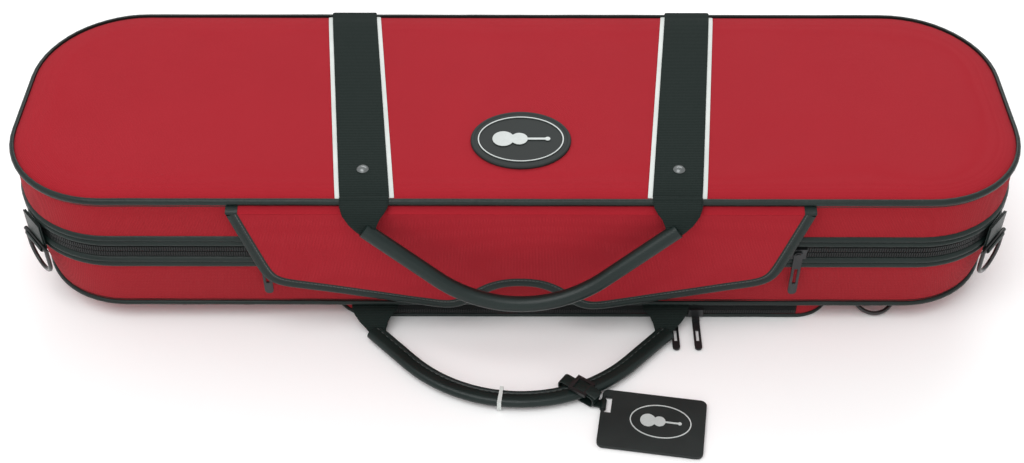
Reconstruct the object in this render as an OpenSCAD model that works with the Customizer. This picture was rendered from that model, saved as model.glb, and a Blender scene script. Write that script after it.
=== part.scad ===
// Oblong violin case with a zipped lid, a front flap, two carrying handles,
// a music pocket under the base, a plush interior and a luggage tag.
// Millimetres. +Z up, +X along the length, the front faces -Y.
// The origin is on the resting face, under the centre of the base.

/* [Walls] */
// Length of the walls, end to end
wall_l = 800; // [780:2:820]
// Width of the walls, front to back
wall_w = 230; // [226:2:240]
// Radius of the four upright corners
corner_r = 82; // [70:2:90]
// Height of the base walls, up to the zip line
base_h = 68; // [64:1:76]
// Height of the lid walls, down to the zip line
lid_h = 54; // [50:1:60]
// Narrowing of the base at its bottom, on each side
base_taper = 7; // [3:1:8]
// Rise of the padded lid top above its edge
lid_dome = 5; // [3:0.5:7]

/* [Wall build-up] */
// Thickness of the cover cloth
cloth_t = 1; // [0.8:0.1:1.4]
// Thickness of the rigid shells
shell_t = 4; // [3:0.5:5]
// Thickness of the plush lining
lining_t = 1.5; // [1:0.5:2]
// Radius of the piping round the lid
lid_piping_r = 3; // [2.5:0.25:3.5]
// Radius of the piping round the base
base_piping_r = 2.2; // [1.8:0.1:2.6]

/* [Zip] */
// Height of each ribbed binding beside the zip
binding_h = 11; // [9:0.5:12]
// How far the ribbed bindings stand off the walls
binding_t = 3; // [2:0.25:3.5]
// Height of each half of the coil zip
coil_h = 5.7; // [5:0.1:6]
// Distance of the left slider from the middle of the case
slider_left_x = 197; // [180:1:300]
// Distance of the right slider from the middle of the case
slider_right_x = 223; // [180:1:300]

/* [Front flap] */
// Width of the flap along its top
flap_w = 450; // [430:2:460]
// Width of the flap where its side edges end
flap_low_w = 410; // [400:2:420]
// Lowest height of the flap, beside the notch
flap_bottom_z = 26; // [24:1:34]
// Radius of the finger notch in the flap
notch_r = 30; // [24:1:34]
// Width of the leatherette edge binding
edge_w = 9; // [7:0.5:10]

/* [Straps and handles] */
// Offset of straps, badge, flap and handles towards the right-hand end
middle_x = 5; // [0:0.5:6]
// Distance of the straps from the middle, at the front
strap_x = 119.5; // [110:0.5:125]
// Width of the black webbing
webbing_w = 38; // [36:1:40]
// Width of the reflective strip under the webbing
reflective_w = 45; // [43:1:48]
// How far each strap leans outward towards the back, in degrees
strap_lean = 6.3; // [0:0.1:7]
// Drop of the upper grip below its own ends
upper_drop = 61; // [55:1:66]
// Reach of the lower grip beyond its own ends
lower_drop = 69.5; // [60:0.5:75]
// Slope of the upper grip at its ends, in degrees
upper_slope = 36; // [33:0.5:38]
// Slope of the lower grip at its ends, in degrees
lower_slope = 46; // [42:1:52]
// Diameter of the upper grip
upper_grip_d = 12.4; // [11:0.2:14]
// Lean of the hanging upper handle away from the front, in degrees
upper_lean = 25; // [22:1:35]

/* [Pocket] */
// Height of the music pocket, the base stands on it
pocket_h = 16.8; // [14:0.2:20]
// Length of the pocket
pocket_l = 412; // [380:2:420]
// Width of the pocket
pocket_w = 210; // [190:2:212]
// Offset of the pocket towards the right-hand end
pocket_x = 57; // [40:1:60]

/* [Badge and tag] */
// Width of the oval badge
badge_w = 79; // [70:1:85]
// Depth of the oval badge
badge_d = 66; // [50:1:70]
// Length of the luggage tag
tag_l = 82; // [76:1:86]
// Width of the luggage tag
tag_w = 55; // [50:1:58]

/* [Hidden] */
$fn = 96;
eps = 0.01;
gap = 0.3;

cloth_red = "firebrick";
leatherette = "darkslategray";
webbing_black = "#26302e";
plush_grey = "slategray";

// levels
webbing_t = 1.6;
panel_t = 1.4;
webbing_z = pocket_h + 0.1;
base_z = webbing_z + webbing_t + 0.1 + panel_t;
split_z = base_z + base_h;
lid_z = split_z + lid_h;
band_z = split_z - gap - coil_h - binding_h;
front_y = -wall_w / 2;
back_y = wall_w / 2;
end_x = wall_l / 2;

// ---- plan shapes -------------------------------------------------------

// rounded rectangle, centred
module plan(l, w, r) {
    square([l - 2 * r, w], center = true);
    square([l, w - 2 * r], center = true);
    for (sx = [-1, 1], sy = [-1, 1])
        translate([sx * (l / 2 - r), sy * (w / 2 - r)]) circle(r);
}

// wall outline moved inward by an inset
module wall_plan(inset) {
    plan(wall_l - 2 * inset, wall_w - 2 * inset, corner_r - inset);
}

// narrowing of the base walls at height z
function taper_at(z) = base_taper * max(0, band_z - z) / (band_z - base_z);

// solid inside the base walls, from z0 to z1, moved inward by an inset
module base_solid(z0, z1, inset) {
    hull() {
        translate([0, 0, z0]) linear_extrude(eps) wall_plan(inset + taper_at(z0), $fn = 64);
        translate([0, 0, band_z]) linear_extrude(z1 - band_z) wall_plan(inset, $fn = 64);
    }
}

// solid inside the lid walls
module lid_solid(z0, z1, inset) {
    translate([0, 0, z0]) linear_extrude(z1 - z0) wall_plan(inset);
}

// padded lid top: a low dome of flat facets, standing on the lid edge
module lid_dome_solid() {
    hull() {
        translate([0, 0, lid_z]) linear_extrude(1) wall_plan(0, $fn = 64);
        translate([0, 0, lid_z]) linear_extrude(lid_dome * 0.6) wall_plan(11, $fn = 64);
        translate([0, 0, lid_z]) linear_extrude(lid_dome) wall_plan(28, $fn = 64);
    }
}

// ---- sweeps round the outline ------------------------------------------

// half size across side k (0 right end, 1 back, 2 left end, 3 front)
function half_of(k, l, w) = k % 2 == 0 ? l / 2 : w / 2;

// straight run of an outward profile along side k
module side_run(k, l, w, r) {
    rotate([0, 0, 90 * k])
        translate([half_of(k, l, w), 0, 0])
            rotate([90, 0, 0])
                linear_extrude(2 * half_of(k + 1, l, w) - 2 * r, center = true) children();
}

// the corner between side k and side k + 1
module corner_run(k, l, w, r) {
    rotate([0, 0, 90 * k])
        translate([half_of(k, l, w) - r, half_of(k + 1, l, w) - r, 0])
            rotate_extrude(angle = 90) translate([r, 0]) children();
}

// a profile carried all the way round: x is outward, y is up
module ring_run(l, w, r) {
    for (k = [0:3]) {
        side_run(k, l, w, r) children();
        corner_run(k, l, w, r) children();
    }
}

// the zip's path: all round, except the back between the hinge's two ends
zip_end_x = wall_l / 2 - corner_r + 20;
module zip_run() {
    difference() {
        ring_run(wall_l, wall_w, corner_r) children();
        translate([-zip_end_x, 0, 0]) cube([2 * zip_end_x, wall_w, lid_z]);
    }
}

// half-round piping that stands on the wall
module piping_profile(r) {
    intersection() {
        circle(r, $fn = 32);
        translate([0, -r]) square([r, 2 * r]);
    }
}

// two-ribbed binding strip
module binding_profile() {
    rib_r = binding_h * 0.22;
    square([binding_t * 0.45, binding_h]);
    for (f = [0.27, 0.73]) intersection() {
        translate([binding_t - rib_r, binding_h * f]) circle(rib_r, $fn = 32);
        square([binding_t, binding_h]);
    }
}

// ---- base --------------------------------------------------------------

shell_in = cloth_t + 0.05;
lining_in = shell_in + shell_t + 0.05;
bay_in = lining_in + lining_t;
floor_z = base_z + shell_t + lining_t;

module base_shell() {
    color("burlywood") difference() {
        base_solid(base_z, split_z - 0.6, shell_in);
        base_solid(base_z + shell_t, split_z, shell_in + shell_t);
    }
}

module base_cover() {
    color(cloth_red) {
        difference() {
            base_solid(base_z, split_z - gap, 0);
            base_solid(base_z - 1, split_z, cloth_t);
        }
        translate([0, 0, base_z - panel_t])
            linear_extrude(panel_t) wall_plan(base_taper, $fn = 64);
    }
}

module base_piping() {
    color(leatherette)
        translate([0, 0, base_z + 1])
            ring_run(wall_l - 2 * base_taper + 1.2, wall_w - 2 * base_taper + 1.2,
                     corner_r - base_taper + 0.6)
                piping_profile(base_piping_r);
}

module base_zip_binding() {
    color(leatherette) translate([0, 0, band_z]) zip_run() binding_profile();
}

module base_zip_coil() {
    color("black") translate([0, 0, split_z - gap - coil_h]) zip_run() square([1, coil_h]);
}

// width of one strap seen at the back
strap_back_x = strap_x + (wall_w - 6) * tan(strap_lean);
back_off = 1.05;
webbing_stop = 4;

// turning line of the lower handle, and the hem of each handle tail
lower_turn_y = front_y + base_taper - 6;
lower_turn_z = webbing_z;
tail_hem_r = 1.5;
tail_end_gap = 4.8;

module base_webbing() {
    color(webbing_black) for (s = [-1, 1]) {
        // under the base, leaning outward like the lid's run
        intersection() {
            translate([middle_x + s * strap_x, front_y + 6, webbing_z])
                rotate([0, 0, -s * strap_lean])
                    translate([-webbing_w / 2, -20, 0])
                        cube([webbing_w, wall_w + 20, webbing_t]);
            translate([-end_x, lower_turn_y + tail_hem_r + gap, webbing_z - 1])
                cube([wall_l, back_y - base_taper + 1 - lower_turn_y - tail_hem_r - gap,
                      webbing_t + 2]);
        }
        // up the back, following the taper
        translate([middle_x + s * strap_back_x - webbing_w / 2, 0, 0]) {
            hull() {
                translate([0, back_y - base_taper + 2.9, webbing_z])
                    cube([webbing_w, webbing_t, 5.5]);
                translate([0, back_y + back_off, band_z]) cube([webbing_w, webbing_t, 1]);
            }
            translate([0, back_y + back_off, band_z])
                cube([webbing_w, webbing_t, split_z - webbing_stop - band_z]);
            translate([0, back_y - base_taper + 0.8, webbing_z])
                cube([webbing_w, 3, webbing_t]);
        }
    }
}

hinge_fabric_l = wall_l - 2 * corner_r;
hinge_fabric_h = 17;

module hinge_fabric_lower() {
    color(cloth_red)
        translate([-hinge_fabric_l / 2, back_y, split_z - gap - hinge_fabric_h])
            cube([hinge_fabric_l, 1, hinge_fabric_h]);
}

module base_lining() {
    color(plush_grey) difference() {
        base_solid(base_z + shell_t, split_z - 0.6, lining_in);
        base_solid(floor_z, split_z, bay_in);
    }
}

// ---- interior of the base ----------------------------------------------

pad_h = 12;
bay_left = -end_x + bay_in + 8;
violin_body_l = 356;

module lower_bout_pad() {
    color(plush_grey) translate([bay_left + 6, 0, floor_z]) intersection() {
        translate([-6, -70, 0]) cube([34, 140, pad_h]);
        difference() {
            translate([92, 0, 0]) cylinder(r = 98, h = pad_h);
            translate([112, 0, -1]) cylinder(r = 98, h = pad_h + 2);
        }
    }
}

module upper_bout_pad() {
    color(plush_grey) translate([bay_left + violin_body_l - 24, 0, floor_z]) intersection() {
        translate([-12, -52, 0]) cube([34, 104, pad_h]);
        difference() {
            translate([-58, 0, 0]) cylinder(r = 78, h = pad_h);
            translate([-76, 0, -1]) cylinder(r = 78, h = pad_h + 2);
        }
    }
}

cradle_x = bay_left + violin_body_l + 64;
cradle_w = 64;
cradle_l = 34;
cradle_top = floor_z + 38;
groove_r = 15;

module neck_cradle() {
    color(plush_grey) difference() {
        translate([cradle_x - cradle_l / 2, -cradle_w / 2, floor_z])
            cube([cradle_l, cradle_w, cradle_top - floor_z]);
        translate([cradle_x - cradle_l / 2 - 1, 0, cradle_top])
            rotate([0, 90, 0]) cylinder(r = groove_r, h = cradle_l + 2);
    }
}

// ribbon over the neck, hinged on the cradle's back edge
strap_pivot_y = cradle_w / 2 - 5;
module neck_strap() {
    ribbon_w = 20;
    ribbon_t = 1.4;
    lift = cradle_top + 0.4;
    color("dimgray") translate([cradle_x - ribbon_w / 2, 0, 0]) {
        translate([0, -strap_pivot_y - 4, lift])
            cube([ribbon_w, 2 * strap_pivot_y + 4, ribbon_t]);
        translate([0, strap_pivot_y, lift + 1.6]) rotate([0, 90, 0])
            cylinder(d = 3.2, h = ribbon_w);
    }
}

box_top = floor_z + 46;
board_t = 3;
side_box_x0 = 4;
side_box_x1 = 214;
side_box_y1 = -38;
side_axis_y = -96;
lid_board_t = 2.4;
rosin_x0 = 344;
rosin_y0 = 20;

module compartment_walls() {
    color(plush_grey) intersection() {
        union() {
            // along the neck and at both ends of the side compartment
            translate([side_box_x0, side_box_y1 - board_t, floor_z])
                cube([side_box_x1 - side_box_x0, board_t, box_top - floor_z]);
            translate([side_box_x0, -wall_w, floor_z])
                cube([board_t, wall_w + side_box_y1, box_top - floor_z]);
            // ledge beside the side compartment's lid
            translate([side_box_x0, -wall_w, box_top - board_t])
                cube([side_box_x1 - side_box_x0, wall_w + side_axis_y - 2.4, board_t]);
            // across the base, in front of the shoulder-rest bay
            translate([side_box_x1, -wall_w, floor_z])
                cube([board_t + 1, 2 * wall_w, box_top - floor_z]);
            // rosin box in the back right-hand corner
            translate([rosin_x0, rosin_y0, floor_z])
                cube([board_t, wall_w, box_top - floor_z]);
            translate([rosin_x0, rosin_y0, floor_z])
                cube([wall_l, board_t, box_top - floor_z]);
        }
        base_solid(floor_z, split_z, bay_in + 0.1);
    }
}

module side_compartment_lid() {
    color(plush_grey) {
        translate([side_box_x0 + 1, side_axis_y, box_top + gap])
            cube([side_box_x1 - side_box_x0 - 2, side_box_y1 - side_axis_y, lid_board_t]);
        translate([side_box_x0 + 1, side_axis_y, box_top + gap + lid_board_t / 2])
            rotate([0, 90, 0]) cylinder(d = lid_board_t, h = side_box_x1 - side_box_x0 - 2);
    }
    // ribbon pull
    color("dimgray")
        translate([(side_box_x0 + side_box_x1) / 2 - 6, side_box_y1 - 8,
                   box_top + gap + lid_board_t])
            cube([12, 12, 1]);
}

rosin_axis_x = 378;
module rosin_compartment_lid() {
    rosin_d = 52;
    color(plush_grey) {
        translate([rosin_x0, rosin_y0, box_top + gap])
            cube([rosin_axis_x - rosin_x0, rosin_d, lid_board_t]);
        translate([rosin_axis_x, rosin_y0, box_top + gap + lid_board_t / 2])
            rotate([-90, 0, 0]) cylinder(d = lid_board_t, h = rosin_d);
    }
    color("dimgray")
        translate([rosin_x0 - 6, rosin_y0 + 20, box_top + gap + lid_board_t])
            cube([14, 12, 1]);
}

// ---- D-rings -----------------------------------------------------------

ring_bar_d = 3.4;
ring_in_w = 30;
ring_depth = 32;
loop_d = 6.4;
loop_w = 26;
running = 0.1;

// D-ring in the XY plane: the bar on the X axis, the bow towards -Y
module d_ring(depth) {
    straight = depth - ring_in_w / 2 - ring_bar_d;
    rotate([0, 90, 0])
        cylinder(d = ring_bar_d, h = ring_in_w + 2 * ring_bar_d, center = true, $fn = 32);
    for (s = [-1, 1])
        translate([s * (ring_in_w + ring_bar_d) / 2, 0, 0]) rotate([90, 0, 0])
            cylinder(d = ring_bar_d, h = straight, $fn = 32);
    translate([0, -straight, 0]) rotate([0, 0, 180]) rotate_extrude(angle = 180)
        translate([(ring_in_w + ring_bar_d) / 2, 0]) circle(d = ring_bar_d, $fn = 32);
}

// folded leatherette tab that holds the bar, lying in the XY plane
module ring_tab(reach) {
    difference() {
        union() {
            rotate([0, 90, 0]) cylinder(d = loop_d, h = loop_w, center = true, $fn = 48);
            translate([-loop_w / 2, 0, -loop_d / 2]) cube([loop_w, reach, 2.4]);
        }
        rotate([0, 90, 0])
            cylinder(d = ring_bar_d + running, h = loop_w + 2, center = true, $fn = 32);
    }
}

end_ring_z = split_z - 14;
end_ring_off = binding_t + loop_d / 2 + 0.1;
// the rings sit on the rounded front corners, this far round from the ends
end_ring_turn = 40;
base_ring_x = 299;
base_ring_y = -82;
base_ring_z = base_z - panel_t - loop_d / 2 - 0.05;
base_ring_depth = 27;
base_ring_dip = 28;

module at_end(side) {
    reach = corner_r + end_ring_off;
    translate([side * (end_x - corner_r + reach * cos(end_ring_turn)),
               front_y + corner_r - reach * sin(end_ring_turn), end_ring_z])
        rotate([0, 0, side * (90 - end_ring_turn)]) rotate([90, 0, 0]) children();
}

module ring_tabs() {
    color(leatherette) {
        for (side = [-1, 1]) at_end(side) ring_tab(24);
        translate([base_ring_x, base_ring_y, base_ring_z])
            mirror([0, 0, 1]) ring_tab(34);
    }
}

module end_ring(side) {
    color("#1c1c1c") at_end(side) d_ring(ring_depth);
}
module end_ring_left() { end_ring(-1); }
module end_ring_right() { end_ring(1); }

module base_ring() {
    color("#1c1c1c") translate([base_ring_x, base_ring_y, base_ring_z])
        rotate([base_ring_dip, 0, 0]) d_ring(base_ring_depth);
}

// ---- music pocket ------------------------------------------------------

pocket_r = 30;
pocket_panel_t = 1.4;
gusset_t = 1.5;
tape_y = -pocket_w / 2;

module pocket_panel() {
    color(cloth_red) translate([pocket_x, 0, 0])
        linear_extrude(pocket_panel_t) plan(pocket_l, pocket_w, pocket_r);
}

module pocket_gusset() {
    color(cloth_red) translate([pocket_x, 0, pocket_panel_t])
        linear_extrude(pocket_h - pocket_panel_t) difference() {
            plan(pocket_l, pocket_w, pocket_r);
            plan(pocket_l - 2 * gusset_t, pocket_w - 2 * gusset_t, pocket_r - gusset_t);
        }
}

module pocket_piping() {
    color(leatherette) translate([pocket_x, 0, 2.1])
        ring_run(pocket_l, pocket_w, pocket_r) piping_profile(2);
}

module pocket_zip_tape() {
    color("black")
        translate([pocket_x - pocket_l / 2 + pocket_r, tape_y - 0.8, 4.6])
            cube([pocket_l - 2 * pocket_r, 0.8, 10.4]);
}

// ---- sliders and pulls -------------------------------------------------

post_d = 3;
post_h = 1.9;
head_h = 0.5;
pull_t = 1.5;

// slider in the XZ plane, facing -Y, its back on the plane y = 0
module slider(w, h, t) {
    translate([-w / 2, -t, -h / 2]) cube([w, t, h]);
    translate([0, -t, 0]) rotate([90, 0, 0]) {
        cylinder(d = post_d, h = post_h, $fn = 32);
        translate([0, 0, post_h]) cylinder(d = post_d + 1.6, h = head_h, $fn = 32);
    }
}

// pull tab: eye round the post, hanging towards -Z, centred in its thickness
module pull(l, w) {
    rotate([90, 0, 0]) linear_extrude(pull_t, center = true) difference() {
        union() {
            circle(d = w, $fn = 48);
            translate([-w / 2, -l + w / 2]) square([w, l - w / 2]);
            translate([0, -l + w / 2]) circle(d = w, $fn = 48);
        }
        circle(d = post_d + running, $fn = 32);
        translate([-w * 0.2, -l * 0.72]) square([w * 0.4, l * 0.38]);
    }
}

main_slider_t = 2.2;
main_slider_y = front_y - 1.2;
main_pull_y = main_slider_y - main_slider_t - post_h / 2;
main_pull_l = 44;

module zip_slider(x) {
    color("dimgray") translate([x, main_slider_y, split_z])
        slider(13, 2 * coil_h - 1, main_slider_t);
}
module zip_slider_left() { zip_slider(-slider_left_x); }
module zip_slider_right() { zip_slider(slider_right_x); }

module zip_pull(x) {
    color("dimgray") translate([x, main_pull_y, split_z]) pull(main_pull_l, 7);
}
module zip_pull_left() { zip_pull(-slider_left_x); }
module zip_pull_right() { zip_pull(slider_right_x); }

pocket_slider_xs = [132, 150];
pocket_slider_y = tape_y - 1.1;
pocket_slider_t = 2.8;
pocket_slider_z = 7.8;
pocket_pull_l = 32;
pocket_pull_y = pocket_slider_y - pocket_slider_t - 2.6;

// the pocket's pulls lie forward on the ground, so their posts stand upright
module pocket_slider(i) {
    color("dimgray") translate([pocket_slider_xs[i], pocket_slider_y, pocket_slider_z]) {
        translate([-6, -pocket_slider_t, -4]) cube([12, pocket_slider_t, 8]);
        translate([-3, -pocket_slider_t - 5, -4.6]) cube([6, 5 + eps, 1.2]);
        translate([0, -pocket_slider_t - 2.6, -4.6]) rotate([180, 0, 0]) {
            cylinder(d = post_d, h = post_h, $fn = 32);
            translate([0, 0, post_h]) cylinder(d = post_d + 1.6, h = head_h, $fn = 32);
        }
    }
}
module pocket_slider_left() { pocket_slider(0); }
module pocket_slider_right() { pocket_slider(1); }

module pocket_pull(i) {
    color("dimgray")
        translate([pocket_slider_xs[i], pocket_pull_y, pocket_slider_z - 4.6 - post_h / 2])
            rotate([-90, 0, 0]) pull(pocket_pull_l, 6);
}
module pocket_pull_left() { pocket_pull(0); }
module pocket_pull_right() { pocket_pull(1); }

// ---- lid ---------------------------------------------------------------

module lid_shell() {
    color("burlywood") difference() {
        lid_solid(split_z + 0.6, lid_z, shell_in);
        lid_solid(split_z, lid_z - shell_t, shell_in + shell_t);
    }
}

module lid_cover_side() {
    color(cloth_red) difference() {
        lid_solid(split_z + gap, lid_z, 0);
        lid_solid(split_z, lid_z + 1, cloth_t);
    }
}

module lid_cover_top() {
    color(cloth_red) lid_dome_solid();
}

module lid_piping() {
    color(leatherette) translate([0, 0, lid_z])
        ring_run(wall_l, wall_w, corner_r) piping_profile(lid_piping_r);
}

module lid_zip_binding() {
    color(leatherette) translate([0, 0, split_z + gap + coil_h]) zip_run() binding_profile();
}

module lid_zip_coil() {
    color("black") translate([0, 0, split_z + gap]) zip_run() square([1, coil_h]);
}

// the two slanted strap areas on the lid, seen from above
module strap_area(w) {
    for (s = [-1, 1])
        translate([middle_x + s * strap_x, front_y + 3])
            rotate([0, 0, -s * strap_lean]) translate([-w / 2, -10]) square([w, wall_w + 20]);
}

// a layer of even height on the dome, within the strap areas
module dome_layer(w, lift, t, margin) {
    intersection() {
        difference() {
            translate([0, 0, lift + t]) lid_dome_solid();
            translate([0, 0, lift]) lid_dome_solid();
        }
        translate([0, 0, lid_z]) linear_extrude(lid_dome + 4) intersection() {
            strap_area(w);
            square([wall_l, wall_w - 2 * margin], center = true);
        }
    }
}

reflective_t = 0.8;
lid_webbing_t = 1.4;

module reflective_strips() {
    color("whitesmoke") dome_layer(reflective_w, eps, reflective_t, 0.5);
}

// webbing over the piping, at the front and at the back
module piping_wrap(x, side) {
    translate([x - webbing_w / 2, side * back_y, lid_z]) intersection() {
        rotate([0, 90, 0]) difference() {
            cylinder(r = lid_piping_r + 0.05 + lid_webbing_t, h = webbing_w);
            translate([0, 0, -1]) cylinder(r = lid_piping_r + 0.05, h = webbing_w + 2);
        }
        translate([-1, side > 0 ? 0 : -9, side > 0 ? -4.5 : 0]) cube([webbing_w + 2, 9, 9]);
    }
}

module lid_webbing() {
    color(webbing_black) {
        dome_layer(webbing_w, reflective_t + 2 * eps, lid_webbing_t, 0);
        for (s = [-1, 1]) {
            piping_wrap(middle_x + s * strap_x, -1);
            piping_wrap(middle_x + s * strap_back_x, 1);
            translate([middle_x + s * strap_x - webbing_w / 2, handle_y + tail_hem_r + gap,
                       lid_z - lid_webbing_t])
                cube([webbing_w, front_y - lid_piping_r - 0.05 - handle_y - tail_hem_r - gap,
                      lid_webbing_t + eps]);
            translate([middle_x + s * strap_back_x - webbing_w / 2, back_y + back_off,
                       split_z + webbing_stop])
                cube([webbing_w, lid_webbing_t, lid_h - webbing_stop - 3.5]);
        }
    }
}

cap_d = 9.4;
cap_h = 2.4;

// domed rivet cap, standing on z = 0
module cap_rivet() {
    dome_r = (cap_d * cap_d / 4 + cap_h * cap_h) / (2 * cap_h);
    intersection() {
        translate([0, 0, cap_h - dome_r]) sphere(dome_r, $fn = 64);
        cylinder(d = cap_d + 1, h = cap_h + 1);
    }
}

rivet_y = front_y + 29;
rivet_x = strap_x + 26 * tan(strap_lean);

module cap_rivets() {
    color("#3a3f40") {
        for (s = [-1, 1])
            translate([middle_x + s * rivet_x, rivet_y, lid_z + lid_dome + reflective_t + lid_webbing_t + 0.05])
                cap_rivet();
        translate([end_x, -34, lid_z - 11]) rotate([0, 90, 0]) cap_rivet();
    }
}

badge_y = -51;
badge_t = 2.2;
badge_z = lid_z + lid_dome + eps;

// oval in plan, one point every five degrees
module oval(w, d) {
    polygon([for (a = [0:5:355]) [w / 2 * cos(a), d / 2 * sin(a)]]);
}

module badge_plate() {
    color("#202826") translate([middle_x, badge_y, badge_z])
        linear_extrude(badge_t) oval(badge_w, badge_d);
}

// generic violin outline, neck towards +X, about l long
module violin_shape(l) {
    u = l / 60;
    translate([-17 * u, 0]) circle(10.5 * u, $fn = 48);
    translate([-1.5 * u, 0]) circle(8.2 * u, $fn = 48);
    translate([-17 * u, -5.6 * u]) square([16 * u, 11.2 * u]);
    translate([4 * u, -1.3 * u]) square([21 * u, 2.6 * u]);
    translate([26 * u, 0]) circle(2.6 * u, $fn = 32);
}

// thin oval line and the violin, as flat inlays
module motif(w, d, line, t) {
    linear_extrude(t) {
        difference() {
            oval(w, d);
            oval(w - 2 * line, d - 2 * line);
        }
        violin_shape(w * 0.72);
    }
}

module badge_motif() {
    color("silver") translate([middle_x, badge_y, badge_z + badge_t + eps])
        motif(badge_w * 0.86, badge_d * 0.8, 0.9, 0.4);
}

module hinge_fabric_upper() {
    color(cloth_red) translate([-hinge_fabric_l / 2, back_y, split_z + gap])
        cube([hinge_fabric_l, 1, hinge_fabric_h]);
}

module lid_lining() {
    color(plush_grey) difference() {
        lid_solid(split_z + 0.6, lid_z - shell_t - 0.05, lining_in);
        lid_solid(split_z, lid_z - shell_t - lining_t - 0.05, bay_in);
    }
}

lid_ceiling = lid_z - shell_t - lining_t - 0.1;
spinner_x = -262;
spinner_ys = [-48, 48];
spinner_pin_d = 5;
spinner_pin_h = 22;

module bow_spinner_mounts() {
    color("#1c1c1c") for (y = spinner_ys) translate([spinner_x, y, lid_ceiling]) {
        translate([-16, -12, -3]) cube([32, 24, 3]);
        translate([0, 0, -spinner_pin_h]) cylinder(d = spinner_pin_d, h = spinner_pin_h - 2);
        translate([0, 0, -spinner_pin_h - 2]) cylinder(d = 9, h = 2);
    }
}

module bow_spinner(i) {
    hub_h = 7;
    color("#1c1c1c")
        translate([spinner_x, spinner_ys[i], lid_ceiling - spinner_pin_h + 0.2])
            difference() {
                union() {
                    cylinder(d = 13, h = hub_h);
                    translate([-4, 0, 0]) cube([8, 30, 3.4]);
                    translate([0, 30, 0]) cylinder(d = 8, h = 3.4);
                }
                translate([0, 0, -1]) cylinder(d = spinner_pin_d + running, h = hub_h + 2);
            }
}
module bow_spinner_left() { bow_spinner(0); }
module bow_spinner_right() { bow_spinner(1); }

module bow_tip_sleeves() {
    color(plush_grey) for (y = spinner_ys) translate([318, y, lid_ceiling - 18]) difference() {
        translate([0, -13, 0]) cube([44, 26, 18]);
        translate([-1, -10.5, 2.5]) cube([42.5, 21, 13]);
    }
}

// ---- front flap --------------------------------------------------------

// turning lines of the flap and of the upper handle
turn_y = front_y - lid_piping_r - lid_webbing_t - 3.6;
handle_y = turn_y - 6;
handle_z = lid_z - 1.5;
flap_t = 1.4;
flap_top_z = handle_z - 4;
flap_corner_r = 16;
flap_side_z = 74;
notch_z = flap_bottom_z + 3;

// corner arc of the right-hand half, in the XZ plane, from below to the side
function flap_corner(inset) = [for (a = [-80:10:0])
    [flap_low_w / 2 - flap_corner_r + (flap_corner_r - inset) * cos(a),
     flap_side_z + (flap_corner_r - inset) * sin(a)]];

// right-hand half outline, moved inward by an inset
function flap_half(inset) = concat(
    [[0, flap_bottom_z + inset]],
    [[notch_r + 8, flap_bottom_z + inset]],
    flap_corner(inset),
    [[flap_w / 2 - inset, flap_top_z]]);

module flap_outline(inset) {
    half = flap_half(inset);
    last = len(half) - 1;
    polygon(concat(half, [for (i = [0:last - 1]) [-half[last - i][0], half[last - i][1]]]));
}

module flap_shape(inset, notch) {
    difference() {
        flap_outline(inset);
        translate([0, notch_z]) circle(notch);
        translate([-notch, 0]) square([2 * notch, notch_z]);
    }
}

module on_flap(t) {
    translate([middle_x, turn_y + t / 2, 0]) rotate([90, 0, 0]) linear_extrude(t) children();
}

module front_flap() {
    color(cloth_red) {
        on_flap(flap_t) flap_shape(edge_w, notch_r + edge_w);
        // rolled hem that the flap turns on
        translate([middle_x, turn_y, flap_top_z]) rotate([0, 90, 0])
            cylinder(d = flap_t, h = flap_w - 2 * edge_w - 1, center = true, $fn = 32);
    }
}

// cloth strip that carries the flap, sewn to the lid wall under the piping
module flap_seam() {
    color(cloth_red)
        translate([middle_x - flap_w / 2, turn_y + flap_t / 2 + gap, flap_top_z - flap_t / 2])
            cube([flap_w, front_y - turn_y - flap_t / 2 - gap, flap_t]);
}

module front_flap_binding() {
    color(leatherette) on_flap(flap_t + 1) difference() {
        flap_shape(0, notch_r);
        flap_shape(edge_w - eps, notch_r + edge_w - eps);
        translate([-wall_l, flap_top_z - 1]) square([2 * wall_l, 10]);
    }
}

// ---- handles -----------------------------------------------------------

function grip_r(half, drop, slope) = (half * tan(slope) - drop)
    / (sin(slope) * tan(slope) - 1 + cos(slope));

joint_lap = 0.02; // the straight parts enter the arc by this, so that they fuse

// a profile swept along a grip: ends at (+-half, 0), the middle at (0, -drop)
module grip_sweep(half, drop, slope) {
    r = grip_r(half, drop, slope);
    straight = (half - r * sin(slope)) / cos(slope);
    translate([0, r - drop, 0]) {
        rotate([0, 0, 270 - slope])
            rotate_extrude(angle = 2 * slope) translate([r, 0]) children();
        for (s = [0, 1]) mirror([s, 0, 0])
            rotate([0, 0, 270 + slope]) translate([r, 0, 0])
                rotate([-90, 0, 0]) translate([0, 0, -joint_lap])
                    linear_extrude(straight + joint_lap) children();
    }
}

tail_l = 11;

// frame of the upper handle: the turning line is the X axis, the grip towards -Y
module upper_handle_frame() {
    translate([middle_x, handle_y, handle_z]) rotate([90 - upper_lean, 0, 0]) children();
}

module upper_handle_grip() {
    color(leatherette) upper_handle_frame() translate([0, -tail_l, 0])
        grip_sweep(strap_x, upper_drop, upper_slope) circle(d = upper_grip_d, $fn = 48);
}

// webbing gathered into the end of a grip: hem on the X axis, reaching towards -Y
module tail(reach) {
    tip_w = 11;
    tip_t = 5;
    hem_flat = 1.2;
    rotate([0, 90, 0]) cylinder(r = tail_hem_r, h = webbing_w, center = true, $fn = 32);
    hull() {
        translate([-webbing_w / 2, -2, -hem_flat]) cube([webbing_w, 2, 2 * hem_flat]);
        translate([-tip_w / 2, -reach, -tip_t / 2]) cube([tip_w, 0.5, tip_t]);
    }
}

module upper_handle_tails() {
    color(webbing_black) upper_handle_frame() for (s = [-1, 1])
        translate([s * strap_x, 0, 0])
            tail(tail_l - tail_end_gap);
}

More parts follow.
